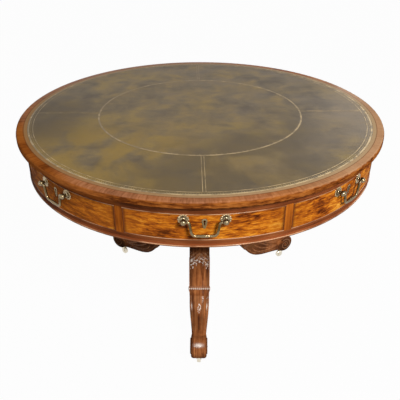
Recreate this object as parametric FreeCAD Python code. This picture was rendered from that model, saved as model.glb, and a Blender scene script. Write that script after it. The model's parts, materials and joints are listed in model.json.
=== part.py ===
"""Revolving drum table: leather-lined round top, frieze of real and dummy drawers, tripod base.

Millimetres. The origin is on the floor under the pivot, +Z is up and the front drawer faces -Y.
"""
import FreeCAD
import Part
import math
import os

V = FreeCAD.Vector
ORIGIN = V(0, 0, 0)
UP = V(0, 0, 1)

# Share of a quarter round's radius between its middle and the sharp corner
ROUND = 1 - math.sqrt(0.5)

# Overall size
HEIGHT = 760.0
TOP_D = 1200.0

# Clearances
GLUE_GAP = 0.05
RUN_FIT = 0.05
SWING_GAP = 0.4
SLIDE_GAP = 0.3
DRAWER_GAP = 0.6
GUIDE_GAP = 1.0
CUT_OVER = 1.0

# Top: a board in a tongued rim, with a leather skin let in flush
TOP_T = 20.0
RIM_W = 35.0
RIM_NOSE = 6.0
RIM_HEEL = 4.0
LEATHER_T = 2.0
LEATHER_DROP = 0.4
TONGUE_L = 7.0
TONGUE_T = 5.0

# Drum frieze
PANELS = 8
OVERHANG = 23.0
RAIL_W = 30.0
UPPER_RAIL_H = 26.5
OPENING_H = 80.0
LOWER_RAIL_H = 21.5
QUIRK_UP = 11.6
QUIRK = 1.6
LEDGE_W = 12.0
STILE_W = 22.0
BASE_BEAD = 2.6
FLOOR_T = 12.0
RUNNER_H = 4.0
RUNNER_W = 22.0
GUIDE_T = 10.0

# Drawers
FRONT_T = 20.0
BEAD_T = 3.0
BEAD_DEEP = 10.0
BOX_INSET = 5.0
SIDE_T = 10.0
BACK_T = 10.0
DRAWER_FLOOR_T = 6.0
FLOOR_LIFT = 4.6
GROOVE = 5.0
SIDE_DROP = 8.0
BACK_ROOM = 5.0
LAP = 11.0
TAILS = 3
TAIL_W = 12.0
TAIL_FLARE = 2.5

# Swan-neck handles on ball posts
HANDLE_DROP = 16.5
POST_SPAN = 107.0
ROSETTE_R = 11.0
ROSETTE_T = 2.2
COVE_R = 4.0
STEM_R = 4.0
BALL_R = 8.0
BALL_OUT = 15.0
TIP_R = 2.6
SHANK_R = 2.5
NUT_W = 9.0
NUT_T = 4.0
NUT_POCKET_R = 7.2
SHANK_END = 1.0
PIN_R = 2.0
PIN_DEEP = 3.0
BAIL_R = 3.6
BAIL_DROP = 41.0
BAIL_NECK = 39.0
BAIL_HALF = 32.0
NECK_BEND = 5.5
BAIL_BEND = 13.0
GRIP_R = 4.8
GRIP_END_R = 2.6
GRIP_HALF = 17.0

# Locks and escutcheons
KEY_DROP = 21.0
KEY_R = 3.2
KEY_SLOT_W = 3.2
KEY_SLOT_L = 12.0
PLATE_R = 7.4
PLATE_TAIL_R = 3.6
PLATE_TAIL = 18.0
PLATE_T = 1.2
LOCK_W = 56.0
LOCK_H = 34.0
LOCK_T = 12.0
LOCK_SUNK = 8.0

# Pivot between drum and pedestal
SPINDLE_R = 13.0
SPINDLE_DEEP = 70.0
BUSH_WALL = 6.0
PLATE_DISC_R = 90.0
PLATE_DISC_T = 3.0
HUB_R = 75.0
HUB_H = 68.0
WASHER_R = 30.0
WASHER_T = 3.0
NUT_AF = 40.0
SPINDLE_NUT_H = 18.0
SPINDLE_END = 4.0

# Turned column
COLUMN_R = 62.0
COLUMN_BOTTOM = 250.0
JOINT_H = 152.0
CROWN_R = 130.0
CROWN_T = 26.0
NECK_R = 36.0
VASE_R = 58.0
RING_R = 56.0
RING_UP = 22.0
FILLET_R = 44.0
FILLET_UP = 6.0
WAIST_UP = 44.0
CAP_R = 72.0
CAP_T = 15.0
NECK_DROP = 30.0
CROWN_EDGE = 8.0

# Hipped legs with scroll feet
LEG_TURN = -1.7
HIP_W = 72.0
COLLAR_W = 70.0
CALF_W = 61.0
ANKLE_W = 48.0
HIP_DROP = 8.0
LEG_CROWN = 9.0
COLLAR_PROUD = 2.8
COLLAR_EDGE = 0.3
COLLAR_HALF = 8.0
COLLAR_STEPS = 4
SCROLL_REACH = 413.0
SCROLL_Z = 78.0
SCROLL_R = 38.0
SCROLL_W = 58.0
SCROLL_ROUND = 9.0
FOOT_W = 51.0
VOLUTE_T = 2.5
VOLUTE_TURNS = 1.75
VOLUTE_STEPS = 8
VOLUTE_START = 120.0
VOLUTE_INSET = 8.0
VOLUTE_BAND = 6.0
VOLUTE_EYE = 6.0
VOLUTE_TAPER = 0.6
TENON_DEEP = 20.0
TENON_NECK = 22.0
TENON_FLARE = 4.0
TENON_H = 120.0
TENON_OUT = 10.0

# Leg outline between column and ankle: reach and height of the top line and of the underside
ROOT_REACH = 40.0
HIP_TOP = (98.0, 390.0)
HIP_REACH = 86.0
BEND_TOP, BEND_UNDER = (142.0, 356.0), (112.0, 243.0)
KNEE_TOP, KNEE_UNDER = (169.0, 303.0), (126.0, 226.0)
SHIN_TOP, SHIN_UNDER = (200.0, 246.0), (139.0, 210.0)
COLLAR_TOP, COLLAR_UNDER = (244.0, 189.5), (189.5, 139.0)
CALF_TOP, CALF_UNDER = (300.0, 139.0), (254.0, 81.0)
ANKLE_TOP, ANKLE_UNDER = (352.0, 116.0), (340.0, 62.0)
FOOT_TOP_BACK, FOOT_TOP_SUNK = 8.0, 2.0
FOOT_UNDER_BACK, FOOT_UNDER_DROP = 20.0, 26.0

# Iron strap under the leg joints
STRAP_T = 4.0
STRAP_W = 26.0
STRAP_REACH = 98.0
STRAP_DISC_R = 46.0
SCREW_REACH = 84.0
SCREW_R = 2.5
SCREW_HEAD_R = 5.0
SCREW_L = 34.0

# Castors
FOOT_FLAT = 43.0
FLANGE_R = 13.0
FLANGE_T = 2.0
SLEEVE_R = 7.0
SLEEVE_L = 22.0
SWIVEL_R = 4.0
CROWN_PLATE_R = 10.0
CROWN_PLATE_T = 4.7
CROWN_WEB = 7.0
WHEEL_R = 14.0
WHEEL_W = 12.0
WHEEL_BEVEL = 1.8
WHEEL_BORE = 2.0
CHEEK_T = 2.2
CHEEK_R = 5.0
TRAIL = 8.0
CASTOR_TURN = 85.0

# Levels and radii that follow from the sizes above
TOP_R = TOP_D / 2
DRUM_R = TOP_R - OVERHANG
CUT_R = DRUM_R + BEAD_DEEP
TOP_UNDER = HEIGHT - TOP_T
OPENING_TOP = TOP_UNDER - UPPER_RAIL_H
OPENING_FLOOR = OPENING_TOP - OPENING_H
DRUM_BOTTOM = OPENING_FLOOR - LOWER_RAIL_H
LEATHER_R = TOP_R - RIM_W
RAIL_IN = DRUM_R - RAIL_W
FRONT_IN = DRUM_R - FRONT_T
FLOOR_TOP = OPENING_FLOOR - RUNNER_H
FLOOR_UNDER = FLOOR_TOP - FLOOR_T
STEP = 360.0 / PANELS
STILE_HALF = math.degrees(STILE_W / 2 / DRUM_R)
OPENING_HALF = STEP / 2 - STILE_HALF
FRONT_HALF = OPENING_HALF - math.degrees(DRAWER_GAP / DRUM_R)
BOX_HALF = FRONT_IN * math.sin(math.radians(FRONT_HALF)) - BOX_INSET
GUIDE_IN = BOX_HALF + GUIDE_GAP
GUIDE_OUT = GUIDE_IN + GUIDE_T
BACK_REACH = GUIDE_OUT + BACK_ROOM
HANDLE_Z = OPENING_TOP - HANDLE_DROP
KEY_Z = OPENING_TOP - KEY_DROP
POST_X = POST_SPAN / 2
POST_Y = math.sqrt(DRUM_R ** 2 - POST_X ** 2)
PIVOT_Y = POST_Y + BALL_OUT
RUN_LEVEL = FLOOR_UNDER - PLATE_DISC_T
CROWN_TOP = RUN_LEVEL - SLIDE_GAP - PLATE_DISC_T
COLUMN_TOP = CROWN_TOP - CROWN_T
HUB_TOP = FLOOR_TOP + HUB_H
DRAWERS = {"front": 0, "right": 90, "back": 180, "left": 270}
LEGS = {"front": 0, "right": 120, "left": 237}


def at(point):
    """Point (x, z) of the XZ plane."""
    return V(point[0], 0, point[1])


def outline(start, *moves):
    """Closed wire in the XZ plane: a move is a point, or (middle, end) of an arc."""
    edges = []
    here = start
    for move in moves + (start,):
        if isinstance(move[0], tuple):
            middle, end = move
            edges.append(Part.Arc(at(here), at(middle), at(end)).toShape())
        else:
            end = move
            edges.append(Part.makeLine(at(here), at(end)))
        here = end
    return Part.Wire(edges)


def turning(start, *moves):
    """Solid turned about Z from an outline of (radius, height) points."""
    return Part.Face(outline(start, *moves)).revolve(ORIGIN, UP, 360)


def curved(half, start, *moves):
    """Solid swept about Z through an angle of half each side of -Y."""
    face = Part.Face(outline(start, *moves))
    face.rotate(ORIGIN, UP, -90 - half)
    return face.revolve(ORIGIN, UP, 2 * half)


def sector(r_in, r_out, z_low, z_high, half):
    """Block of a ring, centred on -Y."""
    return curved(half, (r_in, z_low), (r_out, z_low), (r_out, z_high), (r_in, z_high))


def block(x_low, x_high, y_low, y_high, z_low, z_high):
    return Part.makeBox(x_high - x_low, y_high - y_low, z_high - z_low, V(x_low, y_low, z_low))


def drum(radius, z_low, z_high, x=0.0, y=0.0):
    return Part.makeCylinder(radius, z_high - z_low, V(x, y, z_low), UP)


def rod(radius, start, end):
    """Cylinder from one point to another."""
    axis = end - start
    return Part.makeCylinder(radius, axis.Length, start, axis)


def turned_to(shape, degrees):
    """Copy of a shape turned about Z."""
    copy = shape.copy()
    copy.rotate(ORIGIN, UP, degrees)
    return copy


def ring_of(shape, first=0.0):
    """Copies of a shape, one for each panel of the drum."""
    return [turned_to(shape, first + STEP * k) for k in range(PANELS)]


def leg_angle(name):
    """Turn about Z that takes a leg from +X to its place."""
    return LEG_TURN - 90 + LEGS[name]


def at_legs(shape):
    """Copies of a shape on +X, one for each leg."""
    return [turned_to(shape, leg_angle(name)) for name in LEGS]


def save(name, *solids):
    shape = solids[0] if len(solids) == 1 else Part.makeCompound(list(solids))
    shape.exportStep("parts/" + name + ".step")


# The top: board, rim and leather
def make_top():
    tongue_low = TOP_UNDER + (TOP_T - TONGUE_T) / 2 - LEATHER_T
    tongue_high = tongue_low + TONGUE_T
    board_r = LEATHER_R - GLUE_GAP
    board_top = HEIGHT - LEATHER_DROP - LEATHER_T
    board = turning(
        (0, TOP_UNDER),
        (board_r, TOP_UNDER),
        (board_r, tongue_low),
        (board_r + TONGUE_L, tongue_low),
        (board_r + TONGUE_L, tongue_high),
        (board_r, tongue_high),
        (board_r, board_top),
        (0, board_top),
    )
    groove_r = LEATHER_R + TONGUE_L + GLUE_GAP
    nose = RIM_NOSE * ROUND
    heel = RIM_HEEL * ROUND
    rim = turning(
        (LEATHER_R, TOP_UNDER),
        (TOP_R - RIM_HEEL, TOP_UNDER),
        ((TOP_R - heel, TOP_UNDER + heel), (TOP_R, TOP_UNDER + RIM_HEEL)),
        (TOP_R, HEIGHT - RIM_NOSE),
        ((TOP_R - nose, HEIGHT - nose), (TOP_R - RIM_NOSE, HEIGHT)),
        (LEATHER_R, HEIGHT),
        (LEATHER_R, tongue_high + GLUE_GAP),
        (groove_r, tongue_high + GLUE_GAP),
        (groove_r, tongue_low - GLUE_GAP),
        (LEATHER_R, tongue_low - GLUE_GAP),
    )
    save("top_board", board)
    save("top_rim", rim)
    save("leather_top", drum(board_r, board_top, HEIGHT - LEATHER_DROP))


# The drum carcase: rails built of segments, stiles, floor and drawer guides
def make_carcase():
    upper = sector(RAIL_IN, DRUM_R, OPENING_TOP, TOP_UNDER, STEP / 2)
    quirk_z = DRUM_BOTTOM + QUIRK_UP
    lower = curved(
        STEP / 2,
        (RAIL_IN - LEDGE_W, DRUM_BOTTOM),
        (DRUM_R, DRUM_BOTTOM),
        (DRUM_R, quirk_z - QUIRK / 2),
        (DRUM_R - QUIRK, quirk_z),
        (DRUM_R, quirk_z + QUIRK / 2),
        (DRUM_R, OPENING_FLOOR),
        (RAIL_IN, OPENING_FLOOR),
        (RAIL_IN, FLOOR_UNDER),
        (RAIL_IN - LEDGE_W, FLOOR_UNDER),
    )
    stile = sector(RAIL_IN, DRUM_R, OPENING_FLOOR, OPENING_TOP, STILE_HALF)
    save("upper_rail", *ring_of(upper))
    save("lower_rail", *ring_of(lower))
    save("stiles", *ring_of(stile, STEP / 2))
    bead_in = DRUM_R + GLUE_GAP
    bead = turning(
        (bead_in, DRUM_BOTTOM),
        ((bead_in + BASE_BEAD, DRUM_BOTTOM + BASE_BEAD), (bead_in, DRUM_BOTTOM + 2 * BASE_BEAD)),
    )
    save("base_bead", bead)
    bush_r = SPINDLE_R + RUN_FIT + BUSH_WALL
    floor = drum(RAIL_IN - GLUE_GAP, FLOOR_UNDER, FLOOR_TOP)
    save("bottom_board", floor.cut(drum(bush_r + GLUE_GAP, FLOOR_UNDER, FLOOR_TOP)))
    inside = drum(RAIL_IN - GLUE_GAP, FLOOR_TOP, TOP_UNDER)
    guides = []
    for side in DRAWERS.values():
        through = side % 180 == 0
        end = GUIDE_IN if through else GUIDE_OUT
        for x in (GUIDE_IN, -GUIDE_OUT):
            guide = block(x, x + GUIDE_T, -DRUM_R, -end, FLOOR_TOP, TOP_UNDER).common(inside)
            guides.append(turned_to(guide, side))
        for x in (BOX_HALF - RUNNER_W, -BOX_HALF):
            runner = block(x, x + RUNNER_W, -DRUM_R, -BACK_REACH, FLOOR_TOP, OPENING_FLOOR)
            guides.append(turned_to(runner.common(inside), side))
    save("drawer_guides", *guides)


# Drawer fronts: curved, rebated for cockbeads, bored for handle and key
def front_levels(gap):
    return OPENING_FLOOR + gap, OPENING_TOP - gap


def cockbeads(half, gap):
    """Four strips round a front, each with a half-round nose."""
    low, high = front_levels(gap)
    r_in = DRUM_R - BEAD_DEEP
    strips = []
    for z in (low, high - BEAD_T):
        nose = ((DRUM_R + BEAD_T / 2, z + BEAD_T / 2), (DRUM_R, z + BEAD_T))
        strips.append(curved(half, (r_in, z), (DRUM_R, z), nose, (r_in, z + BEAD_T)))
    height = high - low - 2 * BEAD_T
    for side in (1, -1):
        start = V(0, -DRUM_R, 0)
        end = V(-side * BEAD_T, -DRUM_R, 0)
        tip = V(-side * BEAD_T / 2, -DRUM_R - BEAD_T / 2, 0)
        corners = [end, V(end.x, -r_in, 0), V(0, -r_in, 0), start]
        edges = [Part.Arc(start, tip, end).toShape()]
        edges += [Part.makeLine(a, b) for a, b in zip(corners, corners[1:])]
        strip = Part.Face(Part.Wire(edges)).extrude(V(0, 0, height))
        strip.translate(V(0, 0, low + BEAD_T))
        strips.append(turned_to(strip, side * half))
    return strips


def keyhole(y_low, y_high):
    bore = rod(KEY_R, V(0, y_low, KEY_Z), V(0, y_high, KEY_Z))
    slot = block(-KEY_SLOT_W / 2, KEY_SLOT_W / 2, y_low, y_high, KEY_Z - KEY_SLOT_L, KEY_Z)
    return bore.fuse(slot)


def nut_seat():
    """Flat floor of the pockets that take the handle nuts, as a distance from the axis."""
    return math.sqrt(FRONT_IN ** 2 - POST_X ** 2) + NUT_T / 2


def front_panel(half, gap):
    low, high = front_levels(gap)
    panel = sector(FRONT_IN, DRUM_R, low, high, half)
    r_in = DRUM_R - BEAD_DEEP - GLUE_GAP
    cuts = [sector(r_in, CUT_R, z, z + BEAD_T, half + CUT_OVER) for z in (low, high - BEAD_T)]
    for side, x_low in ((1, -BEAD_T), (-1, -CUT_OVER)):
        strip = block(x_low, x_low + BEAD_T + CUT_OVER, -CUT_R, -r_in, low, high)
        cuts.append(turned_to(strip, side * half))
    for x in (POST_X, -POST_X):
        cuts.append(rod(SHANK_R + GLUE_GAP, V(x, -CUT_R, HANDLE_Z), V(x, 0, HANDLE_Z)))
        cuts.append(rod(NUT_POCKET_R, V(x, -nut_seat(), HANDLE_Z), V(x, 0, HANDLE_Z)))
    cuts.append(keyhole(-CUT_R, -FRONT_IN + FRONT_T))
    return panel.cut(cuts)


def tail_board(z_low, z_high, x, y_root, y_end):
    """Dovetails of one board end: wedges that widen from root to end."""
    pitch = (z_high - z_low) / TAILS
    tails = []
    for k in range(TAILS):
        z = z_low + pitch * (k + 0.5)
        wide = TAIL_W / 2 + TAIL_FLARE
        points = [
            V(x, y_root, z - TAIL_W / 2),
            V(x, y_end, z - wide),
            V(x, y_end, z + wide),
            V(x, y_root, z + TAIL_W / 2),
        ]
        face = Part.Face(Part.makePolygon(points + points[:1]))
        tails.append(face.extrude(V(SIDE_T, 0, 0)))
    return tails


def drawer(name, angle):
    """One real drawer: front with lock and posts, dovetailed sides and back, grooved floor."""
    low, high = front_levels(DRAWER_GAP)
    side_low = OPENING_FLOOR + SLIDE_GAP
    side_high = high - SIDE_DROP
    floor_low = side_low + FLOOR_LIFT
    floor_high = floor_low + DRAWER_FLOOR_T
    back_y = -BACK_REACH - BACK_T
    hollow = drum(FRONT_IN - GLUE_GAP, side_low, side_high)
    inner = BOX_HALF - SIDE_T
    front_y = -math.sqrt(FRONT_IN ** 2 - BOX_HALF ** 2)
    front = front_panel(FRONT_HALF, DRAWER_GAP)
    back = block(-BOX_HALF, BOX_HALF, back_y, -BACK_REACH, floor_high, side_high)
    sides = []
    for x in (inner, -BOX_HALF):
        side = block(x, x + SIDE_T, -DRUM_R, back_y, side_low, side_high).common(hollow)
        front_tails = tail_board(side_low, side_high, x, front_y, front_y - LAP)
        back_tails = tail_board(floor_high, side_high, x, back_y, -BACK_REACH)
        front = front.cut(front_tails)
        back = back.cut(back_tails)
        sides.append(side.fuse(front_tails + back_tails).removeSplitter())
    floor_half = inner + GROOVE
    floor_r = FRONT_IN + GROOVE
    floor = block(-floor_half, floor_half, -DRUM_R, -BACK_REACH, floor_low, floor_high)
    floor = floor.common(drum(floor_r, floor_low, floor_high))
    groove_half = floor_half + GLUE_GAP
    groove = block(-groove_half, groove_half, -DRUM_R, 0, floor_low - GLUE_GAP, floor_high + GLUE_GAP)
    groove = groove.common(drum(floor_r + GLUE_GAP, floor_low - CUT_OVER, floor_high + CUT_OVER))
    sides = [side.cut(groove) for side in sides]
    back = back.cut(groove)
    lock_y = -FRONT_IN - LOCK_SUNK
    lock_high = KEY_Z + LOCK_H / 2
    case = block(-LOCK_W / 2, LOCK_W / 2, lock_y, lock_y + LOCK_T, lock_high - LOCK_H, lock_high)
    front = front.cut([groove, case])
    case = case.cut(keyhole(lock_y, lock_y + LOCK_T / 2))
    pieces = {
        "drawer_front_": [front],
        "drawer_box_": sides + [back, floor],
        "cockbead_": cockbeads(FRONT_HALF, DRAWER_GAP),
        "handle_posts_": handle_posts(),
        "lock_": [case, escutcheon()],
        "bail_": [bail()],
    }
    for piece, solids in pieces.items():
        save(piece + name, *[turned_to(solid, angle) for solid in solids])


# Handles: rosette, stem and ball in one post, with a swan-neck bail between two posts
def handle_posts():
    waist = math.sqrt(BALL_R ** 2 - STEM_R ** 2)
    neck = math.sqrt(BALL_R ** 2 - TIP_R ** 2)
    cove = COVE_R * ROUND
    tip = TIP_R * (1 - ROUND)
    tip_z = BALL_OUT + neck
    post = turning(
        (0, -ROSETTE_T),
        (ROSETTE_R, -ROSETTE_T),
        (ROSETTE_R, ROSETTE_T),
        (STEM_R + COVE_R, ROSETTE_T),
        ((STEM_R + cove, ROSETTE_T + cove), (STEM_R, ROSETTE_T + COVE_R)),
        (STEM_R, BALL_OUT - waist),
        ((BALL_R, BALL_OUT), (TIP_R, tip_z)),
        ((tip, tip_z + tip), (0, tip_z + TIP_R)),
    )
    post.rotate(ORIGIN, V(1, 0, 0), 90)
    solids = []
    for x in (POST_X, -POST_X):
        placed = post.copy()
        placed.translate(V(x, -POST_Y, HANDLE_Z))
        placed = placed.cut(drum(DRUM_R + GLUE_GAP, 0, HEIGHT))
        pocket_end = x * (POST_X + PIN_DEEP + RUN_FIT) / POST_X
        eye = rod(PIN_R + RUN_FIT, V(0, -PIVOT_Y, HANDLE_Z), V(pocket_end, -PIVOT_Y, HANDLE_Z))
        shank_end = nut_seat() - NUT_T - SHANK_END
        shank = rod(SHANK_R, V(x, -POST_Y - STEM_R, HANDLE_Z), V(x, -shank_end, HANDLE_Z))
        solids.append(placed.fuse(shank).cut(eye).removeSplitter())
        nut = block(x - NUT_W / 2, x + NUT_W / 2, -nut_seat(), -nut_seat() + NUT_T,
                    HANDLE_Z - NUT_W / 2, HANDLE_Z + NUT_W / 2)
        bore = rod(SHANK_R + GLUE_GAP, V(x, -DRUM_R, HANDLE_Z), V(x, 0, HANDLE_Z))
        solids.append(nut.cut(bore))
    return solids


def rounded_path(corners, radii):
    """Wire along straight runs with a tangent arc at each inner corner."""
    edges = []
    here = corners[0]
    for before, corner, after, radius in zip(corners, corners[1:], corners[2:], radii):
        to_before = (before - corner).normalize()
        to_after = (after - corner).normalize()
        half = to_before.getAngle(to_after) / 2
        trim = radius / math.tan(half)
        middle = (to_before + to_after).normalize() * (radius / math.sin(half) - radius)
        start = corner + to_before * trim
        end = corner + to_after * trim
        edges.append(Part.makeLine(here, start))
        edges.append(Part.Arc(start, corner + middle, end).toShape())
        here = end
    edges.append(Part.makeLine(here, corners[-1]))
    return Part.Wire(edges)


def bail():
    """Swan-neck bail: bent rod with a swelled grip and a pin at each end."""
    low = HANDLE_Z - BAIL_DROP
    shoulder = POST_X - BALL_R - SWING_GAP
    half_route = [(shoulder, HANDLE_Z), (BAIL_NECK, HANDLE_Z), (BAIL_HALF, low)]
    route = half_route + [(-x, z) for x, z in reversed(half_route)]
    corners = [V(x, -PIVOT_Y, z) for x, z in route]
    path = rounded_path(corners, [NECK_BEND, BAIL_BEND, BAIL_BEND, NECK_BEND])
    ring = Part.Wire(Part.makeCircle(BAIL_R, corners[0], V(1, 0, 0)))
    rail = path.makePipeShell([ring], True, False)
    grip = Part.Face(outline(
        (0, -GRIP_HALF),
        (GRIP_END_R, -GRIP_HALF),
        ((GRIP_R, 0), (GRIP_END_R, GRIP_HALF)),
        (0, GRIP_HALF),
    )).revolve(ORIGIN, UP, 360)
    grip.rotate(ORIGIN, V(0, 1, 0), 90)
    grip.translate(V(0, -PIVOT_Y, low))
    pins = []
    for side in (1, -1):
        root = V(side * (shoulder - BAIL_R), -PIVOT_Y, HANDLE_Z)
        pins.append(rod(PIN_R, root, V(side * (POST_X + PIN_DEEP - SWING_GAP), -PIVOT_Y, HANDLE_Z)))
    return rail.fuse([grip] + pins).removeSplitter()


def escutcheon():
    """Drop-shaped key plate: a large round over a small one, with the keyhole through it."""
    tail_z = KEY_Z - PLATE_TAIL
    lean = math.asin((PLATE_R - PLATE_TAIL_R) / PLATE_TAIL)
    upper = (PLATE_R * math.cos(lean), KEY_Z - PLATE_R * math.sin(lean))
    lower = (PLATE_TAIL_R * math.cos(lean), tail_z - PLATE_TAIL_R * math.sin(lean))
    plate = Part.Face(outline(
        upper,
        ((0, KEY_Z + PLATE_R), (-upper[0], upper[1])),
        (-lower[0], lower[1]),
        ((0, tail_z - PLATE_TAIL_R), lower),
    )).extrude(V(0, PLATE_T, 0))
    plate.translate(V(0, -DRUM_R - GLUE_GAP - PLATE_T, 0))
    return plate.cut(keyhole(-CUT_R, -FRONT_IN))


def make_dummies():
    """Fixed fronts between the real drawers, dressed the same way."""
    angles = [STEP + angle for angle in DRAWERS.values()]
    groups = {
        "dummy_fronts": [front_panel(OPENING_HALF, 0)],
        "dummy_cockbeads": cockbeads(OPENING_HALF, 0),
        "dummy_posts": handle_posts(),
        "dummy_escutcheons": [escutcheon()],
    }
    for name, solids in groups.items():
        save(name, *[turned_to(solid, angle) for angle in angles for solid in solids])
    for number, angle in enumerate(angles, 1):
        save("dummy_bail_%d" % number, turned_to(bail(), angle))


# The pivot: fixed spindle with nut, flanged bush and hub on the drum
def make_pivot():
    bore = SPINDLE_R + RUN_FIT
    bush_r = bore + BUSH_WALL
    bush = turning(
        (bore, RUN_LEVEL),
        (PLATE_DISC_R, RUN_LEVEL),
        (PLATE_DISC_R, FLOOR_UNDER),
        (bush_r, FLOOR_UNDER),
        (bush_r, HUB_TOP),
        (bore, HUB_TOP),
    )
    save("bearing_bush", bush)
    hub = drum(HUB_R, FLOOR_TOP, HUB_TOP).cut(drum(bush_r + GLUE_GAP, FLOOR_TOP, HUB_TOP))
    save("pivot_hub", hub)
    washer_low = HUB_TOP + SLIDE_GAP
    nut_low = washer_low + WASHER_T
    nut_high = nut_low + SPINDLE_NUT_H
    save("pivot_spindle", drum(SPINDLE_R, COLUMN_TOP - SPINDLE_DEEP, nut_high + SPINDLE_END))
    hole = drum(SPINDLE_R + GLUE_GAP, 0, HEIGHT)
    corner = V(NUT_AF / math.sqrt(3), 0, nut_low)
    turns = [FreeCAD.Rotation(UP, 60 * k) for k in range(6)]
    points = [turn.multVec(corner) for turn in turns]
    nut = Part.Face(Part.makePolygon(points + points[:1])).extrude(V(0, 0, SPINDLE_NUT_H))
    save("spindle_nut", drum(WASHER_R, washer_low, nut_low).cut(hole), nut.cut(hole))
    lower_plate = drum(PLATE_DISC_R, CROWN_TOP, CROWN_TOP + PLATE_DISC_T)
    save("bearing_plate", lower_plate.cut(hole))


# The pedestal: turned column and crown, three legs, strap and castor sockets
def make_column(tenons):
    joint_top = COLUMN_BOTTOM + JOINT_H
    waist_z = joint_top + WAIST_UP
    neck_z = COLUMN_TOP - NECK_DROP
    vase_z = (waist_z + neck_z) / 2
    vase = Part.BSplineCurve()
    vase.interpolate([at((NECK_R, waist_z)), at((VASE_R, vase_z)), at((NECK_R, neck_z))])
    points = [
        at((NECK_R, neck_z)),
        at((CAP_R, COLUMN_TOP - CAP_T)),
        at((CAP_R, COLUMN_TOP)),
        at((0, COLUMN_TOP)),
        at((0, COLUMN_BOTTOM)),
        at((COLUMN_R, COLUMN_BOTTOM)),
        at((COLUMN_R, joint_top)),
        at((FILLET_R, joint_top + FILLET_UP)),
    ]
    edges = [vase.toShape()]
    edges += [Part.makeLine(a, b) for a, b in zip(points, points[1:])]
    bulge = Part.Arc(points[-1], at((RING_R, joint_top + RING_UP)), at((NECK_R, waist_z)))
    edges.append(bulge.toShape())
    column = Part.Face(Part.Wire(edges)).revolve(ORIGIN, UP, 360)
    socket = drum(SPINDLE_R + GLUE_GAP, COLUMN_TOP - SPINDLE_DEEP, COLUMN_TOP)
    save("column", column.cut([socket] + tenons))
    edge = CROWN_EDGE * ROUND
    crown = turning(
        (SPINDLE_R + GLUE_GAP, COLUMN_TOP),
        (CROWN_R - CROWN_EDGE, COLUMN_TOP),
        ((CROWN_R - edge, COLUMN_TOP + edge), (CROWN_R, COLUMN_TOP + CROWN_EDGE)),
        (CROWN_R, CROWN_TOP),
        (SPINDLE_R + GLUE_GAP, CROWN_TOP),
    )
    save("crown_block", crown)


def leg_stations():
    """Cross-sections of a leg as (top point, underside point, width), root to scroll."""
    root_top = COLUMN_BOTTOM + JOINT_H - HIP_DROP
    return [
        ((ROOT_REACH, root_top), (ROOT_REACH, COLUMN_BOTTOM), HIP_W),
        (HIP_TOP, (HIP_REACH, COLUMN_BOTTOM), HIP_W),
        (BEND_TOP, BEND_UNDER, HIP_W),
        (KNEE_TOP, KNEE_UNDER, HIP_W),
        (SHIN_TOP, SHIN_UNDER, HIP_W),
        (COLLAR_TOP, COLLAR_UNDER, COLLAR_W),
        (CALF_TOP, CALF_UNDER, CALF_W),
        (ANKLE_TOP, ANKLE_UNDER, ANKLE_W),
        (
            (SCROLL_REACH - FOOT_TOP_BACK, SCROLL_Z + SCROLL_R - FOOT_TOP_SUNK),
            (SCROLL_REACH - FOOT_UNDER_BACK, SCROLL_Z - FOOT_UNDER_DROP),
            FOOT_W,
        ),
    ]


def leg_section(top, under, width, grow=0.0):
    """Closed wire of one section: flat underside, straight sides and a bowed top."""
    rise = at(top) - at(under)
    height = rise.Length
    rise.normalize()
    wide = width / 2 + grow
    base = at(under) - rise * grow
    shoulder = rise * (height + 2 * grow - LEG_CROWN)
    crest = rise * (height + 2 * grow)
    side = V(0, wide, 0)
    left_low, right_low = base - side, base + side
    left_high, right_high = left_low + shoulder, right_low + shoulder
    return Part.Wire([
        Part.makeLine(left_low, right_low),
        Part.makeLine(right_low, right_high),
        Part.Arc(right_high, base + crest, left_high).toShape(),
        Part.makeLine(left_high, left_low),
    ])


def collar():
    """Half-round bead carved round the leg below the knee."""
    rise = at(COLLAR_TOP) - at(COLLAR_UNDER)
    along = rise.cross(V(0, 1, 0)).normalize() * COLLAR_HALF
    wires = []
    for k in range(COLLAR_STEPS + 1):
        turn = math.pi * k / COLLAR_STEPS
        grow = COLLAR_EDGE + COLLAR_PROUD * math.sin(turn)
        wire = leg_section(COLLAR_TOP, COLLAR_UNDER, COLLAR_W, grow)
        wire.translate(along * -math.cos(turn))
        wires.append(wire)
    return Part.makeLoft(wires, True, True)


def scroll():
    """Barrel of the scroll foot, across the leg, with rounded edges."""
    half = SCROLL_W / 2 - VOLUTE_T
    edge = SCROLL_ROUND * ROUND
    flat_r = SCROLL_R - SCROLL_ROUND
    barrel = turning(
        (0, -half),
        (flat_r, -half),
        ((SCROLL_R - edge, edge - half), (SCROLL_R, SCROLL_ROUND - half)),
        (SCROLL_R, half - SCROLL_ROUND),
        ((SCROLL_R - edge, half - edge), (flat_r, half)),
        (0, half),
    )
    barrel.rotate(ORIGIN, V(1, 0, 0), 90)
    barrel.translate(V(SCROLL_REACH, 0, SCROLL_Z))
    return barrel


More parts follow.
